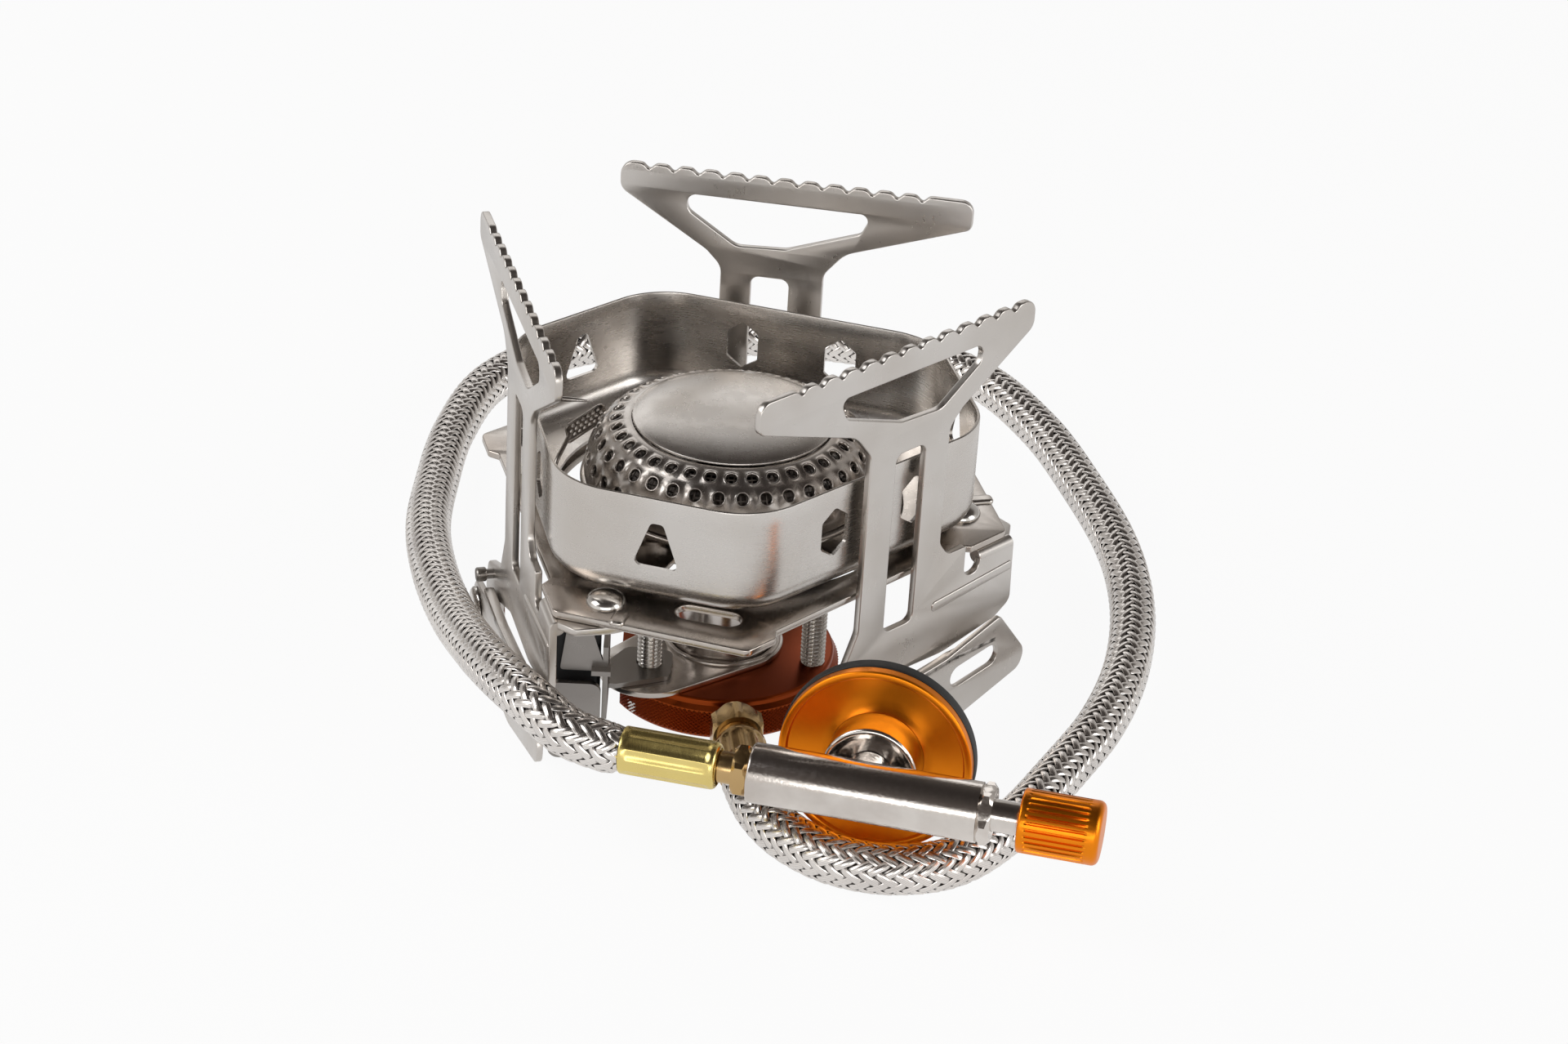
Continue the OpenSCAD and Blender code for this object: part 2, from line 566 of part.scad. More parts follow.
module fluted_sleeve(r, bore, length, flutes) {
    difference() {
        cylinder(r = r, h = length, $fn = 48);
        translate([0, 0, -1]) cylinder(r = bore, h = length + 2, $fn = 48);
        for (k = [0:flutes - 1]) rotate([0, 0, k * 360 / flutes]) translate([r + 0.35, 0, 1.2])
            cylinder(r = 0.6, h = length - 2.4, $fn = 16);
    }
}
module burner_ferrule() {
    color(brass) along_inlet(27.4) fluted_sleeve(4.1, hose_r + 0.03, 7.4, 16);
}
module valve_ferrule() {
    color("khaki") at_valve() along_body(ferrule_end - 0.2) fluted_sleeve(3.5, 2.9, 14.4, 12);
}
module valve_tail() {
    color(brass) at_valve() difference() {
        union() {
            along_body(-32) cylinder(r = barb_r, h = 12, $fn = 24);
            along_body(-23.4) cylinder(r = 2.85, h = 2.4, $fn = 32);
            along_body(-21.2) cylinder(r = 2.35, h = 3.4, $fn = 32);
            along_body(-18.4) rotate([0, 0, 30]) cylinder(r = 4.15, h = 2.25, $fn = 6);
            along_body(-16.3) cylinder(r = 2.3, h = 5, $fn = 32);
        }
        along_body(-33) cylinder(r = 0.9, h = 24, $fn = 24);
    }
}

// Valve: the body lies along x, the canister screws on from +y.
module valve_body() {
    color(steel) at_valve() difference() {
        along_body(body_left) rotate_extrude($fn = 64) polygon([[0, 0], [body_r - 0.3, 0], [body_r, 0.3],
            [body_r, body_right - body_left], [0, body_right - body_left]]);
        along_body(body_left - 1) cylinder(r = 2.35, h = 6.2, $fn = 32);
        along_body(body_left - 1) cylinder(r = 1.6, h = 27, $fn = 32);
        along_body(8.4) cylinder(r = 3.2, h = 12, $fn = 32);
        to_canister(-valve_gap) cylinder(r = 2, h = 6, $fn = 32);
        to_canister(-7.7) cylinder(r = 3.4, h = 4, $fn = 48);
    }
}
module valve_bonnet() {
    color(steel) at_valve() difference() {
        union() {
            along_body(8.5) cylinder(r = 3.18, h = body_right - 8.4, $fn = 32);
            along_body(body_right + 0.01) cylinder(r = 4.6, h = 2, $fn = 6);
        }
        along_body(8) cylinder(r = spindle_r + 0.07, h = 12, $fn = 32);
    }
}
module valve_needle() {
    color(dark_steel) at_valve() along_body(1.6) rotate_extrude($fn = 32)
        polygon([[0, 0], [0.3, 0], [1.2, 1.8], [1.2, 7], [0, 7]]);
}
module valve_spindle() {
    color(steel) at_valve() difference() {
        union() {
            along_body(8.7) cylinder(r = spindle_r, h = knob_from - 8.75, $fn = 32);
            along_body(knob_from - 0.1) cylinder(r = spindle_tip_r, h = 7, $fn = 32);
        }
        along_body(11.4) difference() {
            cylinder(r = 3, h = 1.4, $fn = 32);
            translate([0, 0, -1]) cylinder(r = 1.9, h = 4, $fn = 32);
        }
    }
}
module spindle_seal() {
    color("black") at_valve() along_body(11.45) difference() {
        cylinder(r = spindle_r + 0.04, h = 1.3, $fn = 32);
        translate([0, 0, -1]) cylinder(r = 1.9, h = 4, $fn = 32);
    }
}
module knob() {
    flutes = 28;
    color(orange) at_valve() along_body(knob_from) difference() {
        rotate_extrude($fn = 64) polygon([[0, 0], [knob_r - 0.5, 0], [knob_r, 0.5], [knob_r, knob_l - 1.6],
            [knob_r - 0.5, knob_l - 0.5], [knob_r - 1.6, knob_l], [0, knob_l]]);
        translate([0, 0, -1]) cylinder(r = spindle_tip_r, h = 8, $fn = 32);
        for (k = [0:flutes - 1]) rotate([0, 0, k * 360 / flutes]) translate([knob_r + 0.2, 0, 1.2])
            cylinder(r = 0.38, h = knob_l - 3.4, $fn = 16);
    }
}
module coupling_disc() {
    color(orange) at_valve() difference() {
        to_canister(0) rotate_extrude($fn = 96) polygon([[7, 1.4], [9, 1.3], [12.2, 0.3], [13, -0.3],
            [13.4, -0.8], [coupling_r - 0.5, -0.8], [coupling_r, -0.3], [coupling_r, 0.9],
            [13, 1.1], [10, 2.5], [7, 2.6]]);
        to_canister(-2) cylinder(r = 7.02, h = 8, $fn = 64);
    }
}
module coupling_ring() {
    color("black") at_valve() to_canister(0) rotate_extrude($fn = 96) polygon([[10.4, 2.6], [13.2, 1.2],
        [coupling_r + 0.05, 1], [coupling_r + 0.2, 1.4], [coupling_r + 0.2, 3], [coupling_r - 0.1, 3.3],
        [11.2, 3.3], [10.4, 3]]);
}
module coupling_boss() {
    color("whitesmoke") at_valve() difference() {
        union() {
            difference() {
                to_canister(-4.6) cylinder(r = 7, h = 7.9, $fn = 64);
                along_body(-10) cylinder(r = body_r + 0.02, h = 20, $fn = 64);
            }
            to_canister(-7.5) cylinder(r = 3.38, h = 4, $fn = 48);
        }
        to_canister(thread_from) cylinder(r = thread_r, h = 8, $fn = 48);
        to_canister(seal_seat_from) cylinder(r = 4.65, h = 2, $fn = 48);
        to_canister(-8) cylinder(r = 1.5, h = 8, $fn = 32);
    }
}
module coupling_seal() {
    color("black") at_valve() to_canister(seal_seat_from) difference() {
        cylinder(r = 4.6, h = 1, $fn = 48);
        translate([0, 0, -1]) cylinder(r = 2.4, h = 4, $fn = 32);
    }
}
module depressor_pin() {
    color(brass) at_valve() to_canister(-7.4) {
        cylinder(r = 1.48, h = 1, $fn = 24);
        cylinder(r = 0.8, h = 4.8, $fn = 24);
    }
}

// Igniter: body, push plate and spring, held by a bracket under a frame screw.
igniter_at = [-22, -25, 0];
module igniter_body() {
    color([0.1, 0.1, 0.11]) translate(igniter_at) difference() {
        translate([0, 0, 1.5]) linear_extrude(24.5) polygon(rounded([[-3.5, 0, 0.8], [3.5, 0, 0.8],
            [3.5, 8.6, 1.2], [-3.5, 8.6, 1.2]]));
        translate([-2.1, -1, 5.9]) cube([4.2, 7, 5.2]);
    }
}
module igniter_button() {
    color(dark_steel) translate(igniter_at) {
        translate([0, -2.2, 0]) rotate([90, 0, 0]) linear_extrude(1)
            polygon(rounded([[-3.9, 1.6, 1.6], [3.9, 1.6, 1.6], [3.9, 14.9, 1.6], [-3.9, 14.9, 1.6]]));
        translate([-2, -2.3, 6]) cube([4, 4.4, 5]);
    }
}
module igniter_spring() {
    turns = 5;
    path = [for (a = [0:30:360 * turns]) [1.5 * cos(a), 2.3 + 3.4 * a / (360 * turns), 8.5 + 1.5 * sin(a)]];
    color(dark_steel) translate(igniter_at) bar(path, 0.18, 8);
}
module igniter_bracket() {
    sheet = 0.8;
    wall_x = -17.95;
    reach = screw_circle * [cos(LEGS[2] + screw_turn), sin(LEGS[2] + screw_turn)];
    color(steel) difference() {
        union() {
            translate([0, igniter_at[1] - 0.3, 0]) rotate([90, 0, 0]) linear_extrude(sheet)
                polygon(rounded([[-23, 26.6, 0.3], [-20.8, 26.6, 0.4], [-17.4, 16, 0.5], [-24.4, 16, 0.5]]));
            translate([-19.6, igniter_at[1] - 2.6, 16]) cube([2.9, 2.3, sheet]);
            translate([wall_x, igniter_at[1] - 1.1, base_h + 1.05]) cube([sheet, 9.6, 12.6]);
            translate([0, 0, base_h + 1.05]) linear_extrude(sheet) polygon(rounded([[wall_x, -17.2, 0.3],
                [wall_x, -11, 2], reach_point(reach, -3.6, 4.2), reach_point(reach, 3.6, 3.6),
                reach_point(reach, 3.4, -4), [-16, -17.2, 1]]));
        }
        translate([reach[0], reach[1], 0]) cylinder(r = screw_r + 0.1, h = 12, $fn = 32);
    }
}
function reach_point(p, dx, dy) = [p[0] + dx, p[1] + dy, 1.6];
module igniter_lead() {
    path = spline([[-22, -18.6, 26.1], [-22, -18.5, 26.6], [-22.1, -17.6, 27.3], [-23.4, -12, 27.6],
        [-26, -4, 27.6], [-29, 2.5, 27.4], electrode_at + [0, 0, 27.1]], 6);
    color([0.2, 0.2, 0.2]) bar(path, 0.7, 12);
}
module electrode_insulator() {
    color("white") translate(electrode_at) difference() {
        union() {
            translate([0, 0, 28]) cylinder(r = insulator_r, h = 14, $fn = 32);
            translate([0, 0, plate_z + 0.02]) cylinder(r = 2, h = 1, $fn = 32);
        }
        translate([0, 0, 27]) cylinder(r = electrode_r + 0.05, h = 18, $fn = 24);
    }
}
module electrode() {
    point = 3.4;
    reach = 9.5;
    color(brass) translate(electrode_at) {
        translate([0, 0, 28.1]) cylinder(r = electrode_r, h = electrode_z - 28.1, $fn = 24);
        translate([0, 0, electrode_z]) sphere(electrode_r, $fn = 24);
        translate([0, 0, electrode_z]) rotate([0, 90, -4.2]) {
            cylinder(r = electrode_r, h = reach - point, $fn = 24);
            translate([0, 0, reach - point]) cylinder(r1 = electrode_r, r2 = 0.08, h = point, $fn = 24);
        }
    }
}

wind_cup();
burner_cap();
flame_ring();
flame_gauze();
burner_base();
spark_shield();
mixing_tube();
top_plate();
lower_plate();
base_disc();
gas_jet();
frame_screws();
frame_nuts();
leg_rivets();
leg(0);  // leg_a
leg(1);  // leg_b
leg(2);  // leg_c
foot(0);  // foot_a
foot(1);  // foot_b
foot(2);  // foot_c
foot_rivet(0);  // foot_rivet_a
foot_rivet(1);  // foot_rivet_b
foot_rivet(2);  // foot_rivet_c
stop_pin(0);  // stop_pin_a
stop_pin(1);  // stop_pin_b
stop_pin(2);  // stop_pin_c
inlet_nut();
burner_ferrule();
hose_braid();
hose_liner();
valve_ferrule();
valve_tail();
valve_body();
valve_bonnet();
valve_needle();
valve_spindle();
spindle_seal();
knob();
coupling_disc();
coupling_ring();
coupling_boss();
coupling_seal();
depressor_pin();
igniter_body();
igniter_button();
igniter_spring();
igniter_bracket();
igniter_lead();
electrode_insulator();
electrode();
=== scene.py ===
# Looks for the canister stove: finished surfaces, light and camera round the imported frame.
import bmesh
import bpy
import json
import math
import random
from mathutils import Matrix, Vector


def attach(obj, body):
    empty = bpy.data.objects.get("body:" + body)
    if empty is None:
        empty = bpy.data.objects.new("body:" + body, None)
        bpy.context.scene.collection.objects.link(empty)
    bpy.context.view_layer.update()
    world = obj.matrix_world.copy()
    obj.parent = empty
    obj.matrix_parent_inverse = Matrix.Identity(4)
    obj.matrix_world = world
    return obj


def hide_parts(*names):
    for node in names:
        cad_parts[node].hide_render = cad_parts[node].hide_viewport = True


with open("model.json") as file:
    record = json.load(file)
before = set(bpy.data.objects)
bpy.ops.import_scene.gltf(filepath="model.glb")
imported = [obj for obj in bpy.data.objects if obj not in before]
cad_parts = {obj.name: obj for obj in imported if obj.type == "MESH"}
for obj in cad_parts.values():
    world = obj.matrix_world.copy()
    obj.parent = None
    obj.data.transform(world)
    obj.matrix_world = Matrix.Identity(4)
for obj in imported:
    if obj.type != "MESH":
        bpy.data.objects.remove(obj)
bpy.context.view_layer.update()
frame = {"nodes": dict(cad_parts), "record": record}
scene = bpy.context.scene
MM = 0.001
random.seed(7)

# ---------------------------------------------------------------- named sizes, in millimetres
LEGS = {"a": (-45, -1), "b": (75, 5), "c": (195, 0)}
PLATE_Z, PLATE_T = 31.5, 1.2
PIVOT_N, PIVOT_T = 25.2, 25.9
LEG_FACE, LEG_T = 34.2, 1.2
FOOT_FACE, FOOT_T = 35.2, 1.0
FOOT_PIVOT = (-16.0, -24.6)
CUP_SIDE, CUP_BETWEEN, CUP_CORNER, CUP_TURN = 31.3, 36.2, 12.0, -2.0
CUP_Z, CUP_TOP, CUP_T, CUP_BEND, CUP_OPENING = 33.0, 50.5, 0.55, 4.0, 27.0
CAP_R, SKIRT_R, BURNER_Z, RING_RISE = 15.5, 22.6, 35.5, 9.4
TUBE_R, BASE_R, BASE_H = 7.0, 18.7, 6.5
SCREW_CIRCLE, SCREW_TURN = 15.07, 27.2
HOSE_R = 3.8
VALVE_AT, VALVE_TURN, VALVE_ROLL, VALVE_GAP = (22.6, -49.2, 18.3), -13.4, -5, 10.2
FERRULE_END = -35.0
INLET_AZ, INLET_Z = -83, 4.2
BODY_R, BODY_LEFT, BODY_RIGHT = 4.4, -16.1, 17.3
KNOB_R, KNOB_L, KNOB_FROM, SPINDLE_R = 4.65, 11.7, 23.2, 2.35
COUPLING_R = 14.35
FLAT_X = -15.6
ELECTRODE_AT, ELECTRODE_Z = (-31.8, 8.1), 44.3
INSULATOR_HOLE_R = 1.4
SHIELD_AT = (-22.9, 10.1, 39.3)


# ---------------------------------------------------------------- materials
def shader(name):
    m = bpy.data.materials.new(name)
    m.use_nodes = True
    nt = m.node_tree
    b = nt.nodes["Principled BSDF"]
    return m, nt, b


def add(nt, kind, **values):
    n = nt.nodes.new(kind)
    for k, v in values.items():
        if hasattr(n, k):
            setattr(n, k, v)
        else:
            n.inputs[k.replace("_", " ")].default_value = v
    return n


def noise(nt, scale, detail=2.0, stretch=(1, 1, 1)):
    tc = add(nt, "ShaderNodeTexCoord")
    mp = add(nt, "ShaderNodeMapping")
    mp.inputs["Scale"].default_value = stretch
    nt.links.new(tc.outputs["Object"], mp.inputs["Vector"])
    n = add(nt, "ShaderNodeTexNoise", Scale=scale, Detail=detail)
    nt.links.new(mp.outputs["Vector"], n.inputs["Vector"])
    return n.outputs["Fac"]


def ramp(nt, fac, stops):
    r = add(nt, "ShaderNodeValToRGB")
    el = r.color_ramp.elements
    while len(el) < len(stops):
        el.new(0.5)
    for e, (p, c) in zip(el, stops):
        e.position = p
        e.color = (c[0], c[1], c[2], 1) if isinstance(c, (tuple, list)) else (c, c, c, 1)
    nt.links.new(fac, r.inputs["Fac"])
    return r.outputs["Color"]


def metal(name, base, tint, rough, spread=0.06, brush=(1, 1, 1), brush_scale=900, bump=0.04,
          tint_scale=55):
    m, nt, b = shader(name)
    b.inputs["Metallic"].default_value = 1
    col = ramp(nt, noise(nt, tint_scale, 3), [(0.35, base), (0.7, tint)])
    nt.links.new(col, b.inputs["Base Color"])
    fine = noise(nt, brush_scale, 3, brush)
    smudge = noise(nt, 160, 4)
    mix = add(nt, "ShaderNodeMath", operation="ADD")
    nt.links.new(fine, mix.inputs[0])
    nt.links.new(smudge, mix.inputs[1])
    half = add(nt, "ShaderNodeMath", operation="MULTIPLY")
    half.inputs[1].default_value = 0.5
    nt.links.new(mix.outputs[0], half.inputs[0])
    r = ramp(nt, half.outputs[0], [(0.3, max(0.02, rough - spread)), (0.7, rough + spread)])
    nt.links.new(r, b.inputs["Roughness"])
    if bump:
        bp = add(nt, "ShaderNodeBump", Strength=bump, Distance=0.00005)
        nt.links.new(fine, bp.inputs["Height"])
        nt.links.new(bp.outputs["Normal"], b.inputs["Normal"])
    return m


def braided(name, base, tint, wires):
    """Flat strands of fine wires; the strand's own coordinates are across it and its height in the weave. Painted shade
    darkens the grooves between wires and the strand where it dips under another.
    """
    m, nt, b = shader(name)
    b.inputs["Metallic"].default_value = 1
    b.inputs["Roughness"].default_value = 0.24
    col = ramp(nt, noise(nt, 90, 3), [(0.35, base), (0.7, tint)])
    uv = add(nt, "ShaderNodeUVMap")
    uv.uv_map = "across"
    sep = add(nt, "ShaderNodeSeparateXYZ")
    nt.links.new(uv.outputs[0], sep.inputs[0])
    turn = add(nt, "ShaderNodeMath", operation="MULTIPLY")
    turn.inputs[1].default_value = 2 * math.pi * wires
    nt.links.new(sep.outputs["X"], turn.inputs[0])
    wave = add(nt, "ShaderNodeMath", operation="COSINE")
    nt.links.new(turn.outputs[0], wave.inputs[0])
    height = add(nt, "ShaderNodeMath", operation="MULTIPLY_ADD")
    height.inputs[1].default_value = -0.5
    height.inputs[2].default_value = 0.5
    nt.links.new(wave.outputs[0], height.inputs[0])
    # painted shade: the grooves between the wires mix towards this dark grey
    mx = add(nt, "ShaderNodeMix")
    mx.data_type = "RGBA"
    mx.inputs[6].default_value = (0.30, 0.28, 0.27, 1)
    wire_groove_shade = ramp(nt, height.outputs[0], [(0.0, 0.6), (0.4, 1.0)])
    nt.links.new(wire_groove_shade, mx.inputs[0])
    nt.links.new(col, mx.inputs[7])
    # painted shade: a strand darkens to near black where it dips under the crossing strands
    under_crossing_shade = add(nt, "ShaderNodeMix")
    under_crossing_shade.data_type = "RGBA"
    under_crossing_shade.inputs[6].default_value = (0.05, 0.045, 0.042, 1)
    nt.links.new(ramp(nt, sep.outputs["Y"], [(0.0, 0.03), (0.15, 0.3), (0.45, 1.0)]), under_crossing_shade.inputs[0])
    nt.links.new(mx.outputs[2], under_crossing_shade.inputs[7])
    nt.links.new(under_crossing_shade.outputs[2], b.inputs["Base Color"])
    bp = add(nt, "ShaderNodeBump", Strength=0.15, Distance=0.00005)
    nt.links.new(height.outputs[0], bp.inputs["Height"])
    nt.links.new(bp.outputs["Normal"], b.inputs["Normal"])
    return m


def dielectric(name, color, rough, coat=0.0, bump=0.0, scale=900):
    m, nt, b = shader(name)
    b.inputs["Base Color"].default_value = (*color, 1)
    b.inputs["Roughness"].default_value = rough
    b.inputs["Coat Weight"].default_value = coat
    if bump:
        bp = add(nt, "ShaderNodeBump", Strength=bump, Distance=0.00008)
        nt.links.new(noise(nt, scale, 3), bp.inputs["Height"])
        nt.links.new(bp.outputs["Normal"], b.inputs["Normal"])
    return m


STEEL = (0.63, 0.595, 0.56)
TINT = (0.50, 0.455, 0.415)
MATS = {
    "cup_steel": metal("cup_steel", (0.66, 0.63, 0.60), (0.58, 0.54, 0.50), 0.27, 0.05, (1, 1, 6), 500, 0.05),
    "ring_steel": metal("ring_steel", (0.60, 0.57, 0.54), (0.47, 0.42, 0.38), 0.24),
    "gauze_wire": metal("gauze_wire", (0.40, 0.36, 0.33), (0.28, 0.25, 0.23), 0.3, bump=0),
    "brass": metal("brass", (0.62, 0.43, 0.20), (0.50, 0.33, 0.15), 0.22, brush=(6, 1, 1)),
    "yellow_brass": metal("yellow_brass", (0.86, 0.70, 0.26), (0.74, 0.58, 0.20), 0.24, brush=(8, 1, 1)),
    "tube_steel": metal("tube_steel", (0.62, 0.58, 0.55), (0.52, 0.47, 0.44), 0.2, brush=(1, 1, 8)),
    "plate_steel": metal("plate_steel", (0.60, 0.565, 0.53), (0.46, 0.40, 0.35), 0.24, 0.05),
    "leg_steel": metal("leg_steel", (0.66, 0.63, 0.60), (0.56, 0.52, 0.48), 0.3, 0.04, (3, 3, 1), 700, 0.02),
    "fastener_steel": metal("fastener_steel", (0.70, 0.68, 0.65), (0.60, 0.57, 0.54), 0.16),
    "anodised": metal("anodised", (0.90, 0.26, 0.012), (0.87, 0.24, 0.010), 0.33, 0.02, (1, 1, 1), 1500, 0.02),
    # darker copy of the anodised orange for the base disc: painted shade where it sits under the top plate
    "anodised_painted_shade": metal("anodised_painted_shade", (0.30, 0.052, 0.009), (0.24, 0.040, 0.008), 0.32, 0.03, (1, 1, 1), 1500, 0.02),
    "braid": braided("braid", (0.93, 0.89, 0.85), (0.76, 0.72, 0.69), 5),
    "polished_nickel": metal("polished_nickel", (0.74, 0.70, 0.66), (0.60, 0.55, 0.51), 0.14, 0.08, (1, 1, 1), 2200, 0.35, 160),
    "bracket_steel": metal("bracket_steel", (0.34, 0.32, 0.30), (0.27, 0.25, 0.235), 0.32),
    "dark_steel": metal("dark_steel", (0.34, 0.32, 0.30), (0.27, 0.25, 0.235), 0.3),
    "liner": dielectric("liner", (0.02, 0.02, 0.02), 0.6),
    "black_rubber": dielectric("black_rubber", (0.018, 0.018, 0.018), 0.55, bump=0.4),
    "black_plastic": dielectric("black_plastic", (0.016, 0.016, 0.018), 0.6, bump=0.1),
    "lead_rubber": dielectric("lead_rubber", (0.03, 0.03, 0.03), 0.45),
    "ceramic": dielectric("ceramic", (0.75, 0.72, 0.66), 0.25, 0.4),
}
slots = {s["node"]: s["material_slot"] for s in frame["record"]["subparts"]}
node_body = {n: b for b, ns in frame["record"]["behaviour"]["bodies"].items() for n in ns}
for node_name, ob in frame["nodes"].items():
    ob.data.materials.clear()
    ob.data.materials.append(MATS[slots[node_name]])

for node_name in ("igniter_bracket", "igniter_button"):
    frame["nodes"][node_name].data.materials[0] = MATS["bracket_steel"]


# ---------------------------------------------------------------- mesh helpers
def smooth(bm, angle=35):
    limit = math.radians(angle)
    for f in bm.faces:
        f.smooth = True
    for e in bm.edges:
        e.smooth = not (len(e.link_faces) == 2 and e.calc_face_angle(0) > limit)


def place(bm, matrix):
    bmesh.ops.transform(bm, matrix=matrix, verts=bm.verts)


def piece(name, bm, nodes, angle=35, slot=None, body=None, material=None):
    bmesh.ops.scale(bm, vec=(MM, MM, MM), verts=bm.verts)
    smooth(bm, angle)
    me = bpy.data.meshes.new(name)
    bm.to_mesh(me)
    bm.free()
    ob = bpy.data.objects.new(name, me)
    scene.collection.objects.link(ob)
    slot = slot or slots[nodes[0]]
    me.materials.append(material or MATS[slot])
    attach(ob, body or node_body[nodes[0]])
    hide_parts(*nodes)
    return ob


def from_data(verts, faces):
    bm = bmesh.new()
    vs = [bm.verts.new(v) for v in verts]
    for f in faces:
        try:
            bm.faces.new([vs[i] for i in f])
        except ValueError:
            pass
    return bm


def joined(*parts):
    out = bmesh.new()
    for p in parts:
        me = bpy.data.meshes.new("tmp")
        p.to_mesh(me)
        p.free()
        out.from_mesh(me)
        bpy.data.meshes.remove(me)
    return out


def lathe(profile, sides=96, radius=None):
    """A closed turned solid round z; profile is (r, z) points; radius(r, z, angle) may vary it."""
    verts, faces = [], []
    rows = len(profile)
    for i in range(sides):
        a = 2 * math.pi * i / sides
        for r, z in profile:
            rr = radius(r, z, a) if radius else r
            verts.append((rr * math.cos(a), rr * math.sin(a), z))
    for i in range(sides):
        j = (i + 1) % sides
        for k in range(rows - 1):
            faces.append((i * rows + k, j * rows + k, j * rows + k + 1, i * rows + k + 1))
    bm = from_data(verts, faces)
    bmesh.ops.remove_doubles(bm, verts=bm.verts, dist=1e-5)
    bmesh.ops.recalc_face_normals(bm, faces=bm.faces)
    return bm


def arc(cx, cy, r, a0, a1, steps=6):
    return [(cx + r * math.cos(math.radians(a0 + (a1 - a0) * i / steps)),
             cy + r * math.sin(math.radians(a0 + (a1 - a0) * i / steps))) for i in range(steps + 1)]


def disc_profile(r, z0, z1, edge=0.2):
    return [(0, z0)] + arc(r - edge, z0 + edge, edge, -90, 0, 4) + arc(r - edge, z1 - edge, edge, 0, 90, 4) + [(0, z1)]


def hexagon(af, z0, z1, bore=0.0, chamfer=0.35, sides=6):
    """A chamfered hexagon bar between two heights, with an optional bore."""
    n = 96
    r_in = af / 2
    def rad(a):
        step = 2 * math.pi / sides
        b = (a + step / 2) % step - step / 2
        return r_in / math.cos(b)
    prof = [(bore, z0), (r_in - 0.05, z0), ("hex", z0 + chamfer), ("hex", z1 - chamfer), (r_in - 0.05, z1), (bore, z1)]
    verts, faces = [], []
    for i in range(n):
        a = 2 * math.pi * i / n
        for r, z in prof:
            rr = rad(a) if r == "hex" else r
            if r == "hex":
                lift = (rr - r_in) * 0.5
                z = z + lift if z == z0 + chamfer else z - lift
                z = min(max(z, z0), z1)
            verts.append((rr * math.cos(a), rr * math.sin(a), z))
    rows = len(prof)
    for i in range(n):
        j = (i + 1) % n
        for k in range(rows - 1):
            faces.append((i * rows + k, j * rows + k, j * rows + k + 1, i * rows + k + 1))
        if bore > 0:
            faces.append((i * rows, i * rows + rows - 1, j * rows + rows - 1, j * rows))
    bm = from_data(verts, faces)
    bmesh.ops.remove_doubles(bm, verts=bm.verts, dist=1e-5)
    bmesh.ops.recalc_face_normals(bm, faces=bm.faces)
    return bm


def unit(v):
    d = math.hypot(v[0], v[1])
    return (v[0] / d, v[1] / d)


def rounded(points):
    """Fillets each corner [x, y, radius] of an outline."""
    out = []
    n = len(points)
    for i in range(n):
        a, b, c = points[i - 1], points[i], points[(i + 1) % n]
        r = b[2]
        if r == 0:
            out.append((b[0], b[1]))
            continue
        u = unit((a[0] - b[0], a[1] - b[1]))
        w = unit((c[0] - b[0], c[1] - b[1]))
        half = math.acos(max(-1, min(1, u[0] * w[0] + u[1] * w[1]))) / 2
        d = r / math.tan(half)
        m = unit((u[0] + w[0], u[1] + w[1]))
        cx, cy = b[0] + m[0] * r / math.sin(half), b[1] + m[1] * r / math.sin(half)
        px, py = b[0] + u[0] * d - cx, b[1] + u[1] * d - cy
        qx, qy = b[0] + w[0] * d - cx, b[1] + w[1] * d - cy
        a0 = math.atan2(py, px)
        sweep = math.atan2(qy, qx) - a0
        if sweep > math.pi:
            sweep -= 2 * math.pi
        if sweep < -math.pi:
            sweep += 2 * math.pi
        steps = max(3, math.ceil(abs(sweep) / math.radians(9)))
        for k in range(steps + 1):
            t = a0 + sweep * k / steps
            out.append((cx + r * math.cos(t), cy + r * math.sin(t)))
    return out


def sheet(outline, holes, thick, bevel=0.14):
    """A flat sheet with soft edges, centred on z = 0."""
    cu = bpy.data.curves.new("tmp", "CURVE")
    cu.dimensions = "2D"
    cu.fill_mode = "BOTH"
    for loop in [outline] + holes:
        sp = cu.splines.new("POLY")
        sp.points.add(len(loop) - 1)
        for pt, (x, y) in zip(sp.points, loop):
            pt.co = (x, y, 0, 1)
        sp.use_cyclic_u = True
    cu.extrude = thick / 2 - bevel
    cu.bevel_depth = bevel
    cu.bevel_resolution = 2
    cu.offset = -bevel
    ob = bpy.data.objects.new("tmp", cu)
    scene.collection.objects.link(ob)
    dg = bpy.context.evaluated_depsgraph_get()
    me = bpy.data.meshes.new_from_object(ob.evaluated_get(dg))
    bm = bmesh.new()
    bm.from_mesh(me)
    bpy.data.objects.remove(ob)
    bpy.data.curves.remove(cu)
    bpy.data.meshes.remove(me)
    bmesh.ops.remove_doubles(bm, verts=bm.verts, dist=1e-4)
    return bm


def circle(cx, cy, r, n=32, start=0):
    return [(cx + r * math.cos(2 * math.pi * i / n + start), cy + r * math.sin(2 * math.pi * i / n + start))
            for i in range(n)]


def slot_loop(cx, cy, length, width, deg):
    r = width / 2
    h = (length - width) / 2
    pts = arc(h, 0, r, -90, 90, 10) + arc(-h, 0, r, 90, 270, 10)
    c, s = math.cos(math.radians(deg)), math.sin(math.radians(deg))
    return [(cx + x * c - y * s, cy + x * s + y * c) for x, y in pts]


def Rz(deg):
    return Matrix.Rotation(math.radians(deg), 4, "Z")


def T(x, y, z):
    return Matrix.Translation((x, y, z))


UPRIGHT = Matrix(((0, 0, 1, 0), (1, 0, 0, 0), (0, 1, 0, 0), (0, 0, 0, 1)))
ALONG_X = Matrix.Rotation(math.radians(90), 4, "Y")
TO_Y = Matrix.Rotation(math.radians(-90), 4, "X")


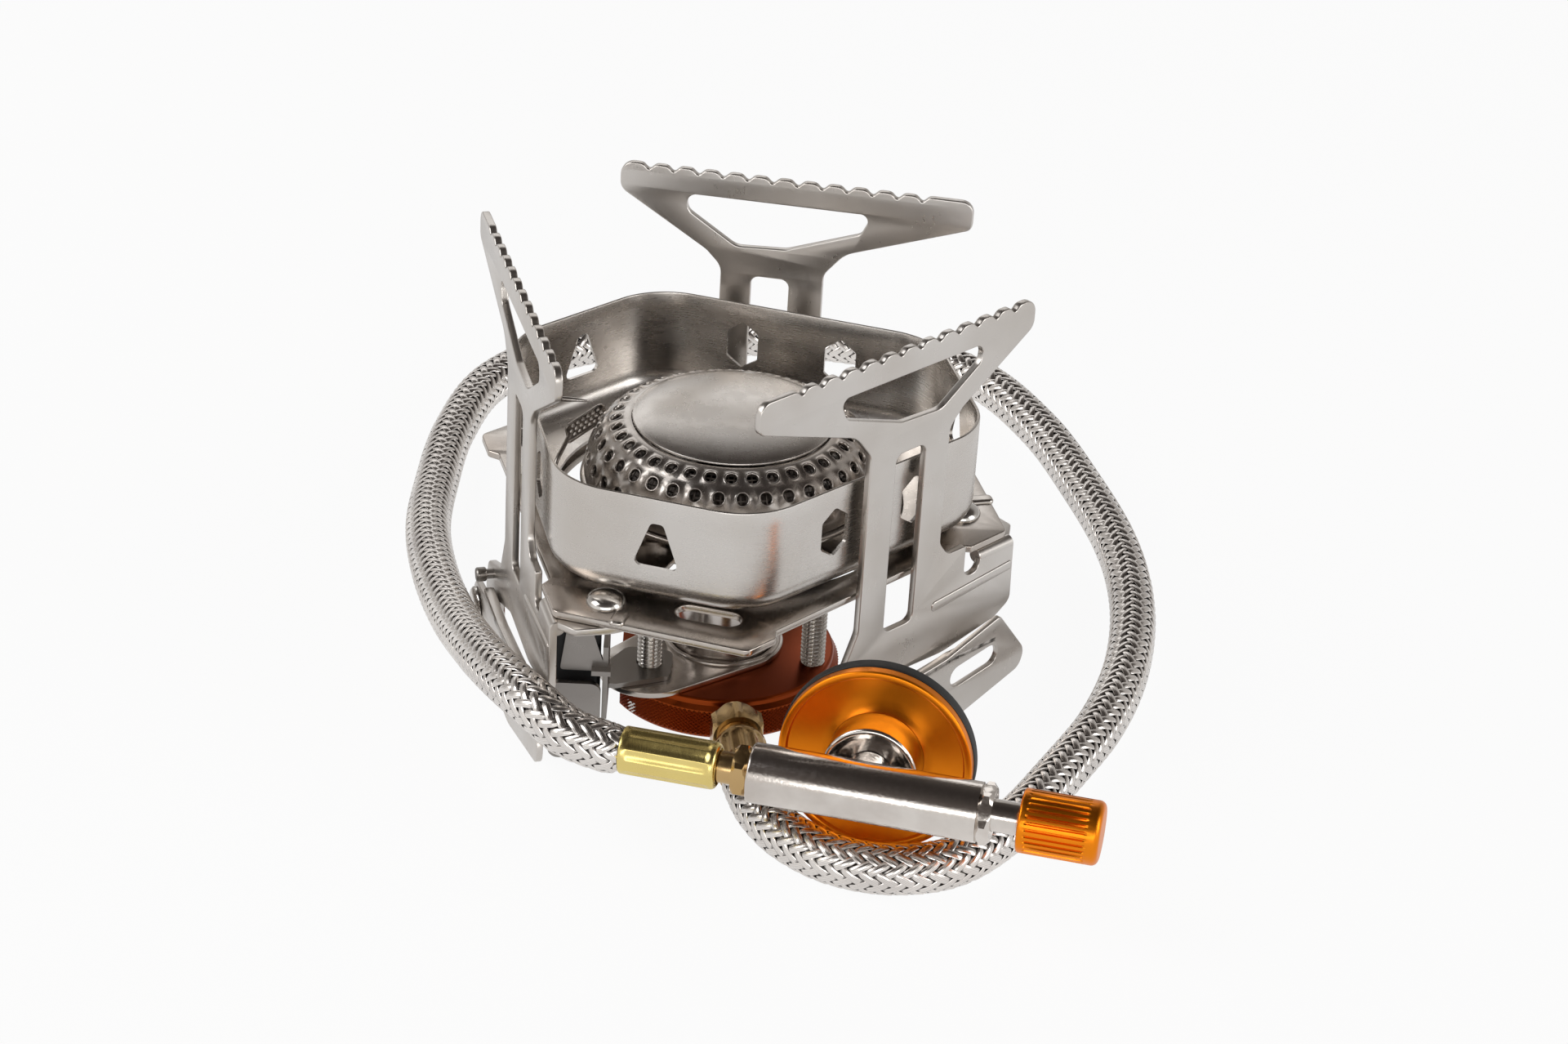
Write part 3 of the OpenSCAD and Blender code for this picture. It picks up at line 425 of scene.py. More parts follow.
def leg_matrix(k):
    az, rest = LEGS[k]
    return T(0, 0, PLATE_Z) @ Rz(az) @ T(PIVOT_N, PIVOT_T, 0) @ Rz(rest) @ T(-PIVOT_N, -PIVOT_T, 0)


VALVE = (T(*VALVE_AT) @ Rz(VALVE_TURN) @ T(0, -VALVE_GAP, 0)
         @ Matrix.Rotation(math.radians(VALVE_ROLL), 4, "X") @ T(0, VALVE_GAP, 0))


def body_axis(x):
    return VALVE @ T(x, -VALVE_GAP, 0) @ ALONG_X


def canister_axis(y):
    return VALVE @ T(0, y, 0) @ TO_Y


def inlet_axis(d):
    return Rz(INLET_AZ) @ T(d, 0, INLET_Z) @ ALONG_X


# ---------------------------------------------------------------- wind cup
CUP_NORMALS = [LEGS["a"][0] + 60 * k + CUP_TURN for k in range(6)]


def cup_centre(k):
    a, b = CUP_NORMALS[k % 6], CUP_NORMALS[k % 6] + 60
    ha = (CUP_SIDE if k % 2 == 0 else CUP_BETWEEN) - CUP_CORNER
    hb = (CUP_SIDE if k % 2 == 1 else CUP_BETWEEN) - CUP_CORNER
    sa, sb = math.sin(math.radians(a)), math.sin(math.radians(b))
    ca, cb = math.cos(math.radians(a)), math.cos(math.radians(b))
    s60 = math.sin(math.radians(60))
    return ((ha * sb - hb * sa) / s60, (hb * ca - ha * cb) / s60)


def cup_outline(inset, steps=12, flat=8):
    pts = []
    for k in range(6):
        cx, cy = cup_centre(k)
        r = CUP_CORNER - inset
        for s in range(steps + 1):
            a = math.radians(CUP_NORMALS[k] + 60 * s / steps)
            pts.append((cx + r * math.cos(a), cy + r * math.sin(a)))
        nx, ny = cup_centre((k + 1) % 6)
        a = math.radians(CUP_NORMALS[k] + 60)
        x0, y0 = cx + r * math.cos(a), cy + r * math.sin(a)
        x1, y1 = nx + r * math.cos(a), ny + r * math.sin(a)
        for s in range(1, flat):
            pts.append((x0 + (x1 - x0) * s / flat, y0 + (y1 - y0) * s / flat))
    return pts


def wind_cup():
    inner = CUP_BEND - CUP_T
    sec = [(CUP_BEND * (1 - math.sin(math.radians(a))), CUP_Z + CUP_BEND * (1 - math.cos(math.radians(a))))
           for a in range(0, 91, 9)]
    sec += [(0, z) for z in (CUP_Z + 7, CUP_Z + 11, CUP_Z + 15)]
    sec += [(0.0, CUP_TOP - 0.3), (0.08, CUP_TOP - 0.08), (CUP_T / 2, CUP_TOP), (CUP_T - 0.08, CUP_TOP - 0.08),
            (CUP_T, CUP_TOP - 0.3)]
    sec += [(CUP_T, z) for z in (CUP_Z + 15, CUP_Z + 11, CUP_Z + 7)]
    sec += [(CUP_T + inner * (1 - math.sin(math.radians(a))), CUP_Z + CUP_T + inner * (1 - math.cos(math.radians(a))))
            for a in range(90, -1, -9)]
    rows = [[(x, y, z) for x, y in cup_outline(i)] for i, z in sec]
    n = len(rows[0])

    def opening(z):
        return [(CUP_OPENING * math.cos(math.atan2(y, x)), CUP_OPENING * math.sin(math.atan2(y, x)), z)
                for x, y, _ in rows[0]]
    rows = [opening(CUP_Z)] + rows + [opening(CUP_Z + CUP_T)]
    verts = [v for row in rows for v in row]
    faces = []
    m = len(rows)
    for i in range(m):
        for k in range(n):
            a, b = i * n + k, i * n + (k + 1) % n
            c, d = ((i + 1) % m) * n + (k + 1) % n, ((i + 1) % m) * n + k
            faces.append((a, b, c, d))
    bm = from_data(verts, faces)
    bmesh.ops.recalc_face_normals(bm, faces=bm.faces)
    cutters = bmesh.new()

    def cutter(outline, normal, shift, r):
        nonlocal cutters
        side = []
        mat = Rz(normal) @ T(r - 3, shift, PLATE_Z) @ UPRIGHT
        lo = [mat @ Vector((x, y, 0)) for x, y in outline]
        hi = [mat @ Vector((x, y, 6)) for x, y in outline]
        cnt = len(outline)
        b2 = from_data(lo + hi, [tuple(range(cnt))[::-1], tuple(range(cnt, 2 * cnt))]
                       + [(i, (i + 1) % cnt, cnt + (i + 1) % cnt, cnt + i) for i in range(cnt)])
        cutters = joined(cutters, b2)
    tri = rounded([[-3.6, 7.7, 0.9], [3.6, 7.7, 0.9], [0.95, 15, 0.8], [-0.95, 15, 0.8]])
    hexa = rounded([[0, 7.6, 0.7], [2.6, 9.4, 0.7], [2.6, 13.9, 0.7], [0, 15.8, 0.7], [-2.6, 13.9, 0.7],
                    [-2.6, 9.4, 0.7]])
    for k in (1, 3, 5):
        cutter(tri, CUP_NORMALS[k], 0, CUP_BETWEEN)
    for k in (0, 2, 4):
        for s in (-8.2, 8.2):
            cutter(hexa, CUP_NORMALS[k], s, CUP_SIDE)
    bore = lathe([(0, 0), (INSULATOR_HOLE_R, 0), (INSULATOR_HOLE_R, CUP_BEND), (0, CUP_BEND)], 32)
    place(bore, T(*ELECTRODE_AT, CUP_Z - 1))
    return cut(bm, joined(cutters, bore))


def cut(bm, cutters):
    """bm minus cutters, as a new bmesh."""
    obs = []
    for part in (bm, cutters):
        me = bpy.data.meshes.new("tmp")
        part.to_mesh(me)
        part.free()
        o = bpy.data.objects.new("tmp", me)
        scene.collection.objects.link(o)
        obs.append(o)
    mod = obs[0].modifiers.new("cut", "BOOLEAN")
    mod.object = obs[1]
    mod.operation = "DIFFERENCE"
    mod.solver = "EXACT"
    dg = bpy.context.evaluated_depsgraph_get()
    me = bpy.data.meshes.new_from_object(obs[0].evaluated_get(dg))
    out = bmesh.new()
    out.from_mesh(me)
    for o in obs:
        data = o.data
        bpy.data.objects.remove(o)
        bpy.data.meshes.remove(data)
    bpy.data.meshes.remove(me)
    return out


piece("wind_cup_sheet", wind_cup(), ["wind_cup"], 30)


# ---------------------------------------------------------------- burner head
def skirt_point(s):
    return (CAP_R + 0.1 + (SKIRT_R - CAP_R - 0.1) * math.sin(math.pi / 2 * s),
            BURNER_Z + 1.3 + RING_RISE * math.cos(math.pi / 2 * s))


def flame_ring():
    holes, rows = 36, 3
    s0, ds = 0.0825, 0.275
    hole_r, q = 0.90, 4
    lip = ((1.42, 0.0), (1.32, -0.05), (1.18, -0.085), (1.06, -0.04), (1.0, 0.08), (1.0, 0.5))
    bm = bmesh.new()

    def at(angle, s, sink=0.0):
        r, z = skirt_point(s)
        r2, z2 = skirt_point(min(1, s + 0.01))
        r1, z1 = skirt_point(max(0, s - 0.01))
        tx, tz = r2 - r1, z2 - z1
        d = math.hypot(tx, tz)
        nx, nz = -tz / d, tx / d
        r, z = r - nx * sink, z - nz * sink
        return bm.verts.new((r * math.cos(angle), r * math.sin(angle), z))

    def quad(vs):
        try:
            bm.faces.new(vs)
        except ValueError:
            pass
    step = 2 * math.pi / holes
    total = holes * 2 * q
    for i in range(4):
        lo, hi = s0 * i / 4, s0 * (i + 1) / 4
        for k in range(total):
            a, b = 2 * math.pi * k / total, 2 * math.pi * (k + 1) / total
            quad([at(a, lo), at(a, hi), at(b, hi), at(b, lo)])
    top = s0 + rows * ds
    for i in range(2):
        lo, hi = top + (1 - top) * i / 2, top + (1 - top) * (i + 1) / 2
        for k in range(total):
            a, b = 2 * math.pi * k / total, 2 * math.pi * (k + 1) / total
            quad([at(a, lo), at(a, hi), at(b, hi), at(b, lo)])
    for row in range(rows):
        lo, hi = s0 + ds * row, s0 + ds * (row + 1)
        mid = (lo + hi) / 2
        r_mid = skirt_point(mid)[0]
        p1, p2 = skirt_point(lo), skirt_point(hi)
        height = math.hypot(p2[0] - p1[0], p2[1] - p1[1])
        for k in range(holes):
            c = (k + 0.5 * (row % 2)) * step
            rim = []
            for i in range(2 * q):
                rim.append((c - step / 2 + step * i / (2 * q), lo))
            for i in range(q):
                rim.append((c + step / 2, lo + (hi - lo) * i / q))
            for i in range(2 * q):
                rim.append((c + step / 2 - step * i / (2 * q), hi))
            for i in range(q):
                rim.append((c - step / 2, hi - (hi - lo) * i / q))
            n = len(rim)
            rings = [[at(a, s) for a, s in rim]]
            for grow, sink in lip:
                rr = hole_r * grow
                ring = []
                for a, s in rim:
                    dx = (a - c) * r_mid
                    dy = (s - mid) / (hi - lo) * height
                    ang = math.atan2(dy, dx)
                    ring.append(at(c + rr * math.cos(ang) / r_mid, mid + rr * math.sin(ang) / height * (hi - lo), sink))
                rings.append(ring)
            for a, b in zip(rings, rings[1:]):
                for i in range(n):
                    j = (i + 1) % n
                    quad([a[i], a[j], b[j], b[i]])
    bmesh.ops.remove_doubles(bm, verts=bm.verts, dist=1e-3)
    bmesh.ops.recalc_face_normals(bm, faces=bm.faces)
    return bm


piece("flame_ring_sheet", flame_ring(), ["flame_ring"], 50)


def gauze():
    rows, n = 15, 120
    rad = 0.15
    prof = []
    for i in range(rows):
        r, z = skirt_point(0.06 + 0.94 * i / (rows - 1))
        prof.append((r - 1.5, z - 0.75))
    bm = bmesh.new()
    for i, (r, z) in enumerate(prof):
        rings = []
        for k in range(n):
            a = 2 * math.pi * k / n
            w = 0.06 * math.cos(math.pi * (k + i))
            rings.append([bm.verts.new(((r + w + rad * math.cos(t)) * math.cos(a), (r + w + rad * math.cos(t)) * math.sin(a),
                                        z + rad * math.sin(t))) for t in (0, math.pi / 2, math.pi, 3 * math.pi / 2)])
        for k in range(n):
            a, b = rings[k], rings[(k + 1) % n]
            for j in range(4):
                bm.faces.new([a[j], b[j], b[(j + 1) % 4], a[(j + 1) % 4]])
    for k in range(n):
        a = 2 * math.pi * (k + 0.5) / n
        prev = None
        for r, z in prof:
            cx, cy = r * math.cos(a), r * math.sin(a)
            tx, ty = -math.sin(a), math.cos(a)
            ring = [bm.verts.new((cx + rad * (tx * u + math.cos(a) * v), cy + rad * (ty * u + math.sin(a) * v), z))
                    for u, v in ((1, 0), (0, 1), (-1, 0), (0, -1))]
            if prev:
                for j in range(4):
                    bm.faces.new([prev[j], ring[j], ring[(j + 1) % 4], prev[(j + 1) % 4]])
            prev = ring
    return bm


piece("flame_gauze_wires", gauze(), ["flame_gauze"], 80)
edge_z = BURNER_Z + 1.3 + RING_RISE + 0.05
dome = [(CAP_R * math.sin(a), edge_z + 0.25 + 1.65 * (math.cos(a) - 0.0)) for a in
        [math.pi / 2 * i / 18 for i in range(16, -1, -1)]]
cap = [(0, edge_z + 0.1)] + arc(CAP_R - 0.3, edge_z + 0.3, 0.3, -90, 45, 7) + dome
piece("burner_cap_disc", lathe(cap, 160), ["burner_cap"], 50)
base = [(TUBE_R + 0.05, BURNER_Z - 2.5), (9.5, BURNER_Z - 2.5), (9.5, BURNER_Z), (SKIRT_R, BURNER_Z)] \
    + arc(SKIRT_R + 0.1, BURNER_Z + 0.5, 0.5, -90, 90, 8) + [(SKIRT_R - 0.5, BURNER_Z + 1.2), (TUBE_R + 0.05, BURNER_Z + 1.2),
                                                          (TUBE_R + 0.05, BURNER_Z - 2.5)]
piece("burner_base_disc", lathe(base, 128), ["burner_base"], 35, slot="ring_steel")


def spark_shield():
    """A perforated leaf with a rolled lower edge, joined with the wire that holds it."""
    long, high = 8.0, 3.0
    outline = rounded([[-long / 2, -high / 2, 0.3], [long / 2, -high / 2, 0.6], [long / 2, high / 2, 1.2],
                       [-long / 2, high / 2, 0.9]])
    holes = [circle(1.02 * i + 0.51 * (j % 2), 0.86 * j, 0.33, 12) for i in range(-3, 4) for j in (-1, 0, 1)
             if abs(1.02 * i + 0.51 * (j % 2)) < 3.5]
    leaf = sheet(outline, holes, 0.4, 0.08)
    place(leaf, Matrix.Rotation(math.radians(90), 4, "X"))
    roll = lathe([(0, -long / 2), (0.3, -long / 2), (0.42, -long / 2 + 0.15), (0.42, long / 2 - 0.15),
                  (0.3, long / 2), (0, long / 2)], 24)
    place(roll, T(0, 0, -high / 2) @ ALONG_X)
    both = joined(leaf, roll)
    place(both, T(*SHIELD_AT) @ Rz(42) @ Matrix.Rotation(math.radians(-15), 4, "Y"))
    foot_z = CUP_Z + CUP_T + 0.4
    wire = [Vector(p) for p in ((-25.2, 7.6, foot_z + 4.35), (-26, 5, foot_z + 3.45), (-26.9, 2.6, foot_z + 2.25),
                                (-27.6, 0.9, foot_z))]
    return joined(both, tube_along(0.35, 12, frames_on(wire, 0.3)))


def spline(points, step):
    """Evenly spaced points on the smooth curve through control points."""
    dense = []
    n = len(points)
    for i in range(n - 1):
        a, b, c, d = points[max(i - 1, 0)], points[i], points[i + 1], points[min(i + 2, n - 1)]
        for j in range(40):
            s = j / 40
            dense.append(0.5 * (2 * b + (c - a) * s + (2 * a - 5 * b + 4 * c - d) * s * s
                                + (3 * b - a - 3 * c + d) * s * s * s))
    dense.append(points[-1])
    out, need, run = [dense[0]], step, 0.0
    for p, q in zip(dense, dense[1:]):
        seg = (q - p).length
        while run + seg >= need:
            out.append(p.lerp(q, (need - run) / seg))
            need += step
        run += seg
    return out


def frames_on(points, step):
    """Position, side and upward direction at each step along a smooth curve."""
    path = spline(points, step)
    out = []
    for i, p in enumerate(path):
        t = (path[min(i + 1, len(path) - 1)] - path[max(i - 1, 0)]).normalized()
        s = Vector((0, 0, 1)).cross(t).normalized()
        out.append((p, s, t.cross(s)))
    return out


def tube_along(r, sides, frames_used):
    verts, faces = [], []
    for p, s, u in frames_used:
        for k in range(sides):
            a = 2 * math.pi * k / sides
            verts.append(p + r * (math.cos(a) * s + math.sin(a) * u))
    rows = len(frames_used)
    for i in range(rows - 1):
        for k in range(sides):
            a, b = i * sides + k, i * sides + (k + 1) % sides
            faces.append((a, b, b + sides, a + sides))
    faces.append(tuple(range(sides))[::-1])
    faces.append(tuple((rows - 1) * sides + k for k in range(sides)))
    bm = from_data(verts, faces)
    bmesh.ops.recalc_face_normals(bm, faces=bm.faces)
    return bm


piece("spark_shield_leaf", spark_shield(), ["spark_shield"], 40)


# ---------------------------------------------------------------- plates
def turned(points, a):
    c, s = math.cos(math.radians(a)), math.sin(math.radians(a))
    return [[x * c - y * s, x * s + y * c, r] for x, y, r in points]


side = 33.5
third = [[side, -28.7, 1.5], [side, -23, 0.8], [side - 1.5, -21.5, 0.8], [side - 1.5, 18, 0.8], [side, 19.3, 0.5],
         [side, 27.3, 1.5]]
plate_outline = rounded([p for a, _ in LEGS.values() for p in turned(third, a)])
plate_holes = [circle(0, 0, TUBE_R + 1.5, 64)]
for a, _ in LEGS.values():
    mid = a + 87
    win = [(27 * math.cos(math.radians(mid + t)), 27 * math.sin(math.radians(mid + t))) for t in range(-36, 37, 3)]
    win += [(19.5 * math.cos(math.radians(mid + t)), 19.5 * math.sin(math.radians(mid + t))) for t in range(36, -37, -3)]
    plate_holes.append(win)
    c, s = math.cos(math.radians(a + 60)), math.sin(math.radians(a + 60))
    plate_holes.append(slot_loop(33.8 * c - 6.5 * s, 33.8 * s + 6.5 * c, 10, 4, a + 150))
plate_holes.append(circle(*ELECTRODE_AT, INSULATOR_HOLE_R, 24))
bm = sheet(plate_outline, plate_holes, PLATE_T, 0.25)
place(bm, T(0, 0, PLATE_Z - PLATE_T / 2))
bumps = []
for a, _ in LEGS.values():
    b = sheet(rounded([[-2.0, -1.15, 0.8], [2.0, -1.15, 0.8], [2.0, 1.15, 0.8], [-2.0, 1.15, 0.8]]), [], 0.9, 0.4)
    place(b, Rz(a) @ T(24.4, 31.2, PLATE_Z + 0.0) @ Rz(60))
    bumps.append(b)
piece("top_plate_sheet", joined(bm, *bumps), ["top_plate"], 35)

screws = [Rz(a + SCREW_TURN) @ T(SCREW_CIRCLE, 0, 0) for a, _ in LEGS.values()]
sx, sy = screws[2].translation.x, screws[2].translation.y
r0, r1 = TUBE_R + 2.7, 8.0
axis = math.atan2(sy, sx)
half = math.acos((r0 - r1) / SCREW_CIRCLE)
lobe = [(r0 * math.cos(axis + half + t), r0 * math.sin(axis + half + t))
        for t in [(2 * math.pi - 2 * half) * i / 40 for i in range(41)]]
lobe += [(sx + r1 * math.cos(axis - half + t), sy + r1 * math.sin(axis - half + t))
         for t in [2 * half * i / 30 for i in range(31)]]
bm = sheet(lobe, [circle(0, 0, TUBE_R + 1.25, 48), circle(sx, sy, 3.0, 32)], 1.0, 0.18)
place(bm, T(0, 0, BASE_H + 0.5))
ringlet = lathe([(TUBE_R + 1.3, BASE_H + 0.9)] + arc(TUBE_R + 1.75, BASE_H + 1.0, 0.45, 180, 0, 6) + [(TUBE_R + 2.2, BASE_H + 0.9)], 64)
piece("lower_plate_sheet", joined(bm, ringlet), ["lower_plate"], 35)


# ---------------------------------------------------------------- base disc, tube, screws
def base_disc():
    body = [(0, 0), (BASE_R - 0.5, 0)] + [(BASE_R - 0.25, 0.3)]
    top = [(BASE_R - 0.25, BASE_H - 1.7), (BASE_R - 0.9, BASE_H - 1.05), (BASE_R - 0.9, BASE_H - 0.45)]
    top += arc(BASE_R - 1.35, BASE_H - 0.45, 0.45, 0, 90, 5) + [(0, BASE_H)]
    disc = lathe(body + top, 160)
    n, rows = 150, 7
    z0, z1 = 0.3, BASE_H - 1.75
    verts, faces = [], []
    for j in range(rows * 2 + 1):
        for i in range(n * 2):
            a = math.pi * i / n
            peak = (i + j) % 2 == 0
            r = BASE_R + (0.0 if peak else -0.26)
            if j in (0, rows * 2):
                r = BASE_R - 0.26
            verts.append((r * math.cos(a), r * math.sin(a), z0 + (z1 - z0) * j / (rows * 2)))
    m = n * 2
    for j in range(rows * 2):
        for i in range(m):
            a, b = j * m + i, j * m + (i + 1) % m
            c, d = a + m, b + m
            if (i + j) % 2 == 0:
                faces += [(a, b, c), (b, d, c)]
            else:
                faces += [(a, b, d), (a, d, c)]
    knurl = from_data(verts, faces)
    for bm in (disc, knurl):
        kept = bmesh.ops.bisect_plane(bm, geom=bm.verts[:] + bm.edges[:] + bm.faces[:], plane_co=(FLAT_X, 0, 0),
                                      plane_no=(-1, 0, 0), clear_outer=True)
        if bm is disc:
            bmesh.ops.edgenet_fill(bm, edges=[e for e in kept["geom_cut"] if isinstance(e, bmesh.types.BMEdge)])
    return joined(disc, knurl)


# the base disc takes the darker anodised copy: painted shade under the top plate
piece("base_disc_turned", base_disc(), ["base_disc"], 25, material=MATS["anodised_painted_shade"])
tube = [(TUBE_R - 0.8, BASE_H + 0.05), (TUBE_R + 1.0, BASE_H + 0.05), (TUBE_R + 1.2, BASE_H + 0.25), (TUBE_R + 1.2, BASE_H + 3.3),
        (TUBE_R + 0.9, BASE_H + 3.6), (TUBE_R, BASE_H + 3.65), (TUBE_R, BURNER_Z + 1.2), (TUBE_R - 0.8, BURNER_Z + 1.2),
        (TUBE_R - 0.8, BASE_H + 0.05)]
piece("mixing_tube_turned", lathe(tube, 96), ["mixing_tube"], 35)


def threaded_rod(r, z0, z1, pitch, depth=0.42):
    n = 28
    per = 8
    rows = int((z1 - z0) / pitch * per)
    verts, faces = [], []
    for j in range(rows + 1):
        z = z0 + (z1 - z0) * j / rows
        for i in range(n):
            a = 2 * math.pi * i / n
            ph = (z / pitch - i / n) % 1
            tri = abs(ph * 2 - 1)
            tri = min(1, max(0, (tri - 0.08) / 0.78))
            rr = r - depth * tri
            verts.append((rr * math.cos(a), rr * math.sin(a), z))
    for j in range(rows):
        for i in range(n):
            a, b = j * n + i, j * n + (i + 1) % n
            faces.append((a, b, b + n, a + n))
    faces.append(tuple(range(n))[::-1])
    faces.append(tuple(rows * n + i for i in range(n)))
    return from_data(verts, faces)


rods = []
for m in screws:
    rod = threaded_rod(1.97, 2.2, BURNER_Z + 1.9, 0.7)
    head = lathe([(0, 0.3), (3.3, 0.3), (3.5, 0.5), (3.5, 2.3), (0, 2.3)], 48)
    both = joined(rod, head)
    place(both, m)
    rods.append(both)
piece("frame_screws_threaded", joined(*rods), ["frame_screws"], 60)
nuts = []
for i, m in enumerate(screws):
    b = hexagon(7.0, 0, 2.4, 1.98)
    place(b, m @ T(0, 0, PLATE_Z) @ Rz(11 + 17 * i))
    nuts.append(b)
piece("frame_nuts_hex", joined(*nuts), ["frame_nuts"], 25)
flange_z = PLATE_Z - PLATE_T - 0.1 - LEG_T
rivets = []
for a, _ in LEGS.values():
    head = lathe([(0, 0), (2.95, 0), (3.0, 0.12), (2.9, 0.45), (2.6, 0.85), (2.1, 1.15), (1.4, 1.38), (0.7, 1.49), (0, 1.52)], 64)
    place(head, Rz(a) @ T(PIVOT_N, PIVOT_T, PLATE_Z))
    shank = lathe([(0, 0), (1.5, 0), (1.5, PLATE_T + LEG_T + 0.15), (0, PLATE_T + LEG_T + 0.15)], 32)
    place(shank, Rz(a) @ T(PIVOT_N, PIVOT_T, flange_z - 0.05))
    tail = lathe(disc_profile(2.6, -1.1, -0.06, 0.3), 48)
    place(tail, Rz(a) @ T(PIVOT_N, PIVOT_T, flange_z))
    rivets += [head, shank, tail]
piece("leg_rivet_heads", joined(*rivets), ["leg_rivets"], 35)


# ---------------------------------------------------------------- legs and feet
def grip_drop(t):
    near = round((t + 0.2) / 4) * 4 - 0.2
    return 0.9 * math.exp(-((t - near) / 0.75) ** 2)


def leg_outline():
    corner = rounded([[-22, 39.6, 0], [-28.4, 39.6, 2], [-28.4, 34.9, 1.4], [-8.5, 28, 5], [-5.2, 24, 3], [-5.2, -6, 3],
                      [-8.5, -13, 2], [-18, -17, 3], [-19.4, -21, 3], [-19.4, -28.2, 3.6], [-12.6, -28.2, 3.6],
                      [-10, -20, 3], [0, -16.2, 6], [14, -16.6, 12], [25.5, -14.6, 2], [28.9, -12.6, 2], [28.6, -2.5, 0],
                      [20.9, -2.5, 0], [20.9, -4.5, 1.6], [17.5, -4.5, 1.6], [17.5, 1, 0.4], [13.4, 1, 2.2],
                      [11.5, 3.5, 2], [11.5, 23.4, 3], [14, 26, 4], [28.4, 35, 2.2], [28.4, 39.6, 2.2], [26, 39.6, 0]])
    edge = [(26 - 0.25 * i, 39.6 - grip_drop(26 - 0.25 * i)) for i in range(1, 192)]
    return corner + edge


LEG_WINDOW = rounded([[-12.4, 35.3, 1.2], [-10.8, 31.8, 1.5], [1, 27.6, 3], [9.2, 27.2, 3], [17.4, 32.6, 2], [17.4, 35.3, 1.5]])
LEG_SLOT = rounded([[0.3, 22.3, 1.4], [6.5, 22.3, 1.4], [6.5, -8, 1.4], [0.3, -8, 1.4]])


def leg_piece(k):
    face = LEG_FACE - LEG_T
    flat = sheet(leg_outline(), [LEG_WINDOW, LEG_SLOT], LEG_T, 0.22)
    place(flat, T(face + LEG_T / 2, 0, 0) @ UPRIGHT)
    lug = sheet(rounded([[face, 28.6, 0], [31, 31.2, 1], [25.2, 31.4, 5], [19.9, 30, 5], [20.2, 20.6, 5], [face, 21, 0]]),
                [], LEG_T, 0.2)
    place(lug, T(0, 0, flange_z - PLATE_Z + LEG_T / 2))
    bend = lathe([(0, 0), (LEG_T - 0.15, 0), (LEG_T, 0.15), (LEG_T, 7.45), (LEG_T - 0.15, 7.6), (0, 7.6)], 48)
    place(bend, T(face, 28.6, flange_z - PLATE_Z) @ Matrix.Rotation(math.radians(90), 4, "X"))
    rib = sheet(rounded([[10.6, -8.3, 0.8], [10.6, -6.5, 0.8], [28.3, -5.1, 0.5], [28.3, -6.8, 0.5]]), [], 0.7, 0.3)
    place(rib, T(LEG_FACE - 0.12, 0, 0) @ UPRIGHT)
    whole = joined(flat, lug, bend, rib)
    place(whole, leg_matrix(k))
    piece("leg_%s_sheet" % k, whole, ["leg_" + k], 35)


FOOT_OUTLINE = [[24.8, -13.2, 1], [31.2, -21.4, 2.6], [30.4, -24.4, 2.4], [9, -30.6, 14], [-19.5, -30.6, 4],
                [-19.5, -20.6, 3.6], [-12.5, -19.4, 3], [0, -18, 10], [13, -16.6, 10]]


def foot_piece(k):
    flat = sheet(rounded(FOOT_OUTLINE), [slot_loop(19.5, -20.2, 10.5, 3.6, 8), slot_loop(-2.5, -24, 10.5, 3.6, 0)], FOOT_T, 0.18)
    place(flat, T(FOOT_FACE + FOOT_T / 2, 0, 0) @ UPRIGHT)
    top = [p for p in rounded(FOOT_OUTLINE) if -11 <= p[0] <= 24 and p[1] > -20]
    top = sorted(top)
    xs = [-11 + 35.0 * i / 40 for i in range(41)]

    def edge(x):
        for (x0, y0), (x1, y1) in zip(top, top[1:]):
            if x0 <= x <= x1 and x1 > x0:
                return y0 + (y1 - y0) * (x - x0) / (x1 - x0)
        return top[0][1] if x < top[0][0] else top[-1][1]
    hem_prof = [(0, -1.0), (0, -0.3), (-0.15, -0.08), (-0.4, 0.0), (-1.0, 0.02), (-1.55, -0.1), (-1.7, -0.35), (-1.7, -0.9), (-1.3, -1.0)]
    verts = [(FOOT_FACE + FOOT_T + p, x, edge(x) + q) for x in xs for p, q in hem_prof]
    m = len(hem_prof)
    faces = [(i * m + j, (i + 1) * m + j, (i + 1) * m + (j + 1) % m, i * m + (j + 1) % m)
             for i in range(40) for j in range(m)]
    faces += [tuple(range(m)), tuple(40 * m + j for j in range(m))[::-1]]
    hem = from_data(verts, faces)
    bmesh.ops.recalc_face_normals(hem, faces=hem.faces)
    whole = joined(flat, hem)
    place(whole, leg_matrix(k))
    piece("foot_%s_sheet" % k, whole, ["foot_" + k], 35)
    x = LEG_FACE - LEG_T
    parts = []
    for prof, at in ((disc_profile(2.6, -0.8, 0.0, 0.3), x), (disc_profile(2.6, 0, FOOT_FACE - LEG_FACE - 0.05, 0.1), LEG_FACE),
                     ([(0, 0), (1.5, 0), (1.5, 3.3), (0, 3.3)], x),
                     ([(0, 0), (3.45, 0), (3.6, 0.12), (3.5, 0.45), (3.2, 0.72), (2.6, 0.88), (0, 0.92)], FOOT_FACE + FOOT_T + 0.05)):
        b = lathe(prof, 56)
        place(b, T(at, FOOT_PIVOT[0], FOOT_PIVOT[1]) @ ALONG_X)
        parts.append(b)
    rivet = joined(*parts)
    place(rivet, leg_matrix(k))
    piece("foot_rivet_%s_head" % k, rivet, ["foot_rivet_" + k], 35)
    pin = lathe([(0, 0), (0.8, 0), (0.8, 2.4), (1.05, 2.45), (1.15, 2.6), (1.15, 3.8), (1.0, 4.0), (0, 4.0)], 32)
    place(pin, leg_matrix(k) @ T(x, -13.6, -17) @ ALONG_X)
    piece("stop_pin_%s_turned" % k, pin, ["stop_pin_" + k], 35)


for leg in "abc":
    leg_piece(leg)
    foot_piece(leg)


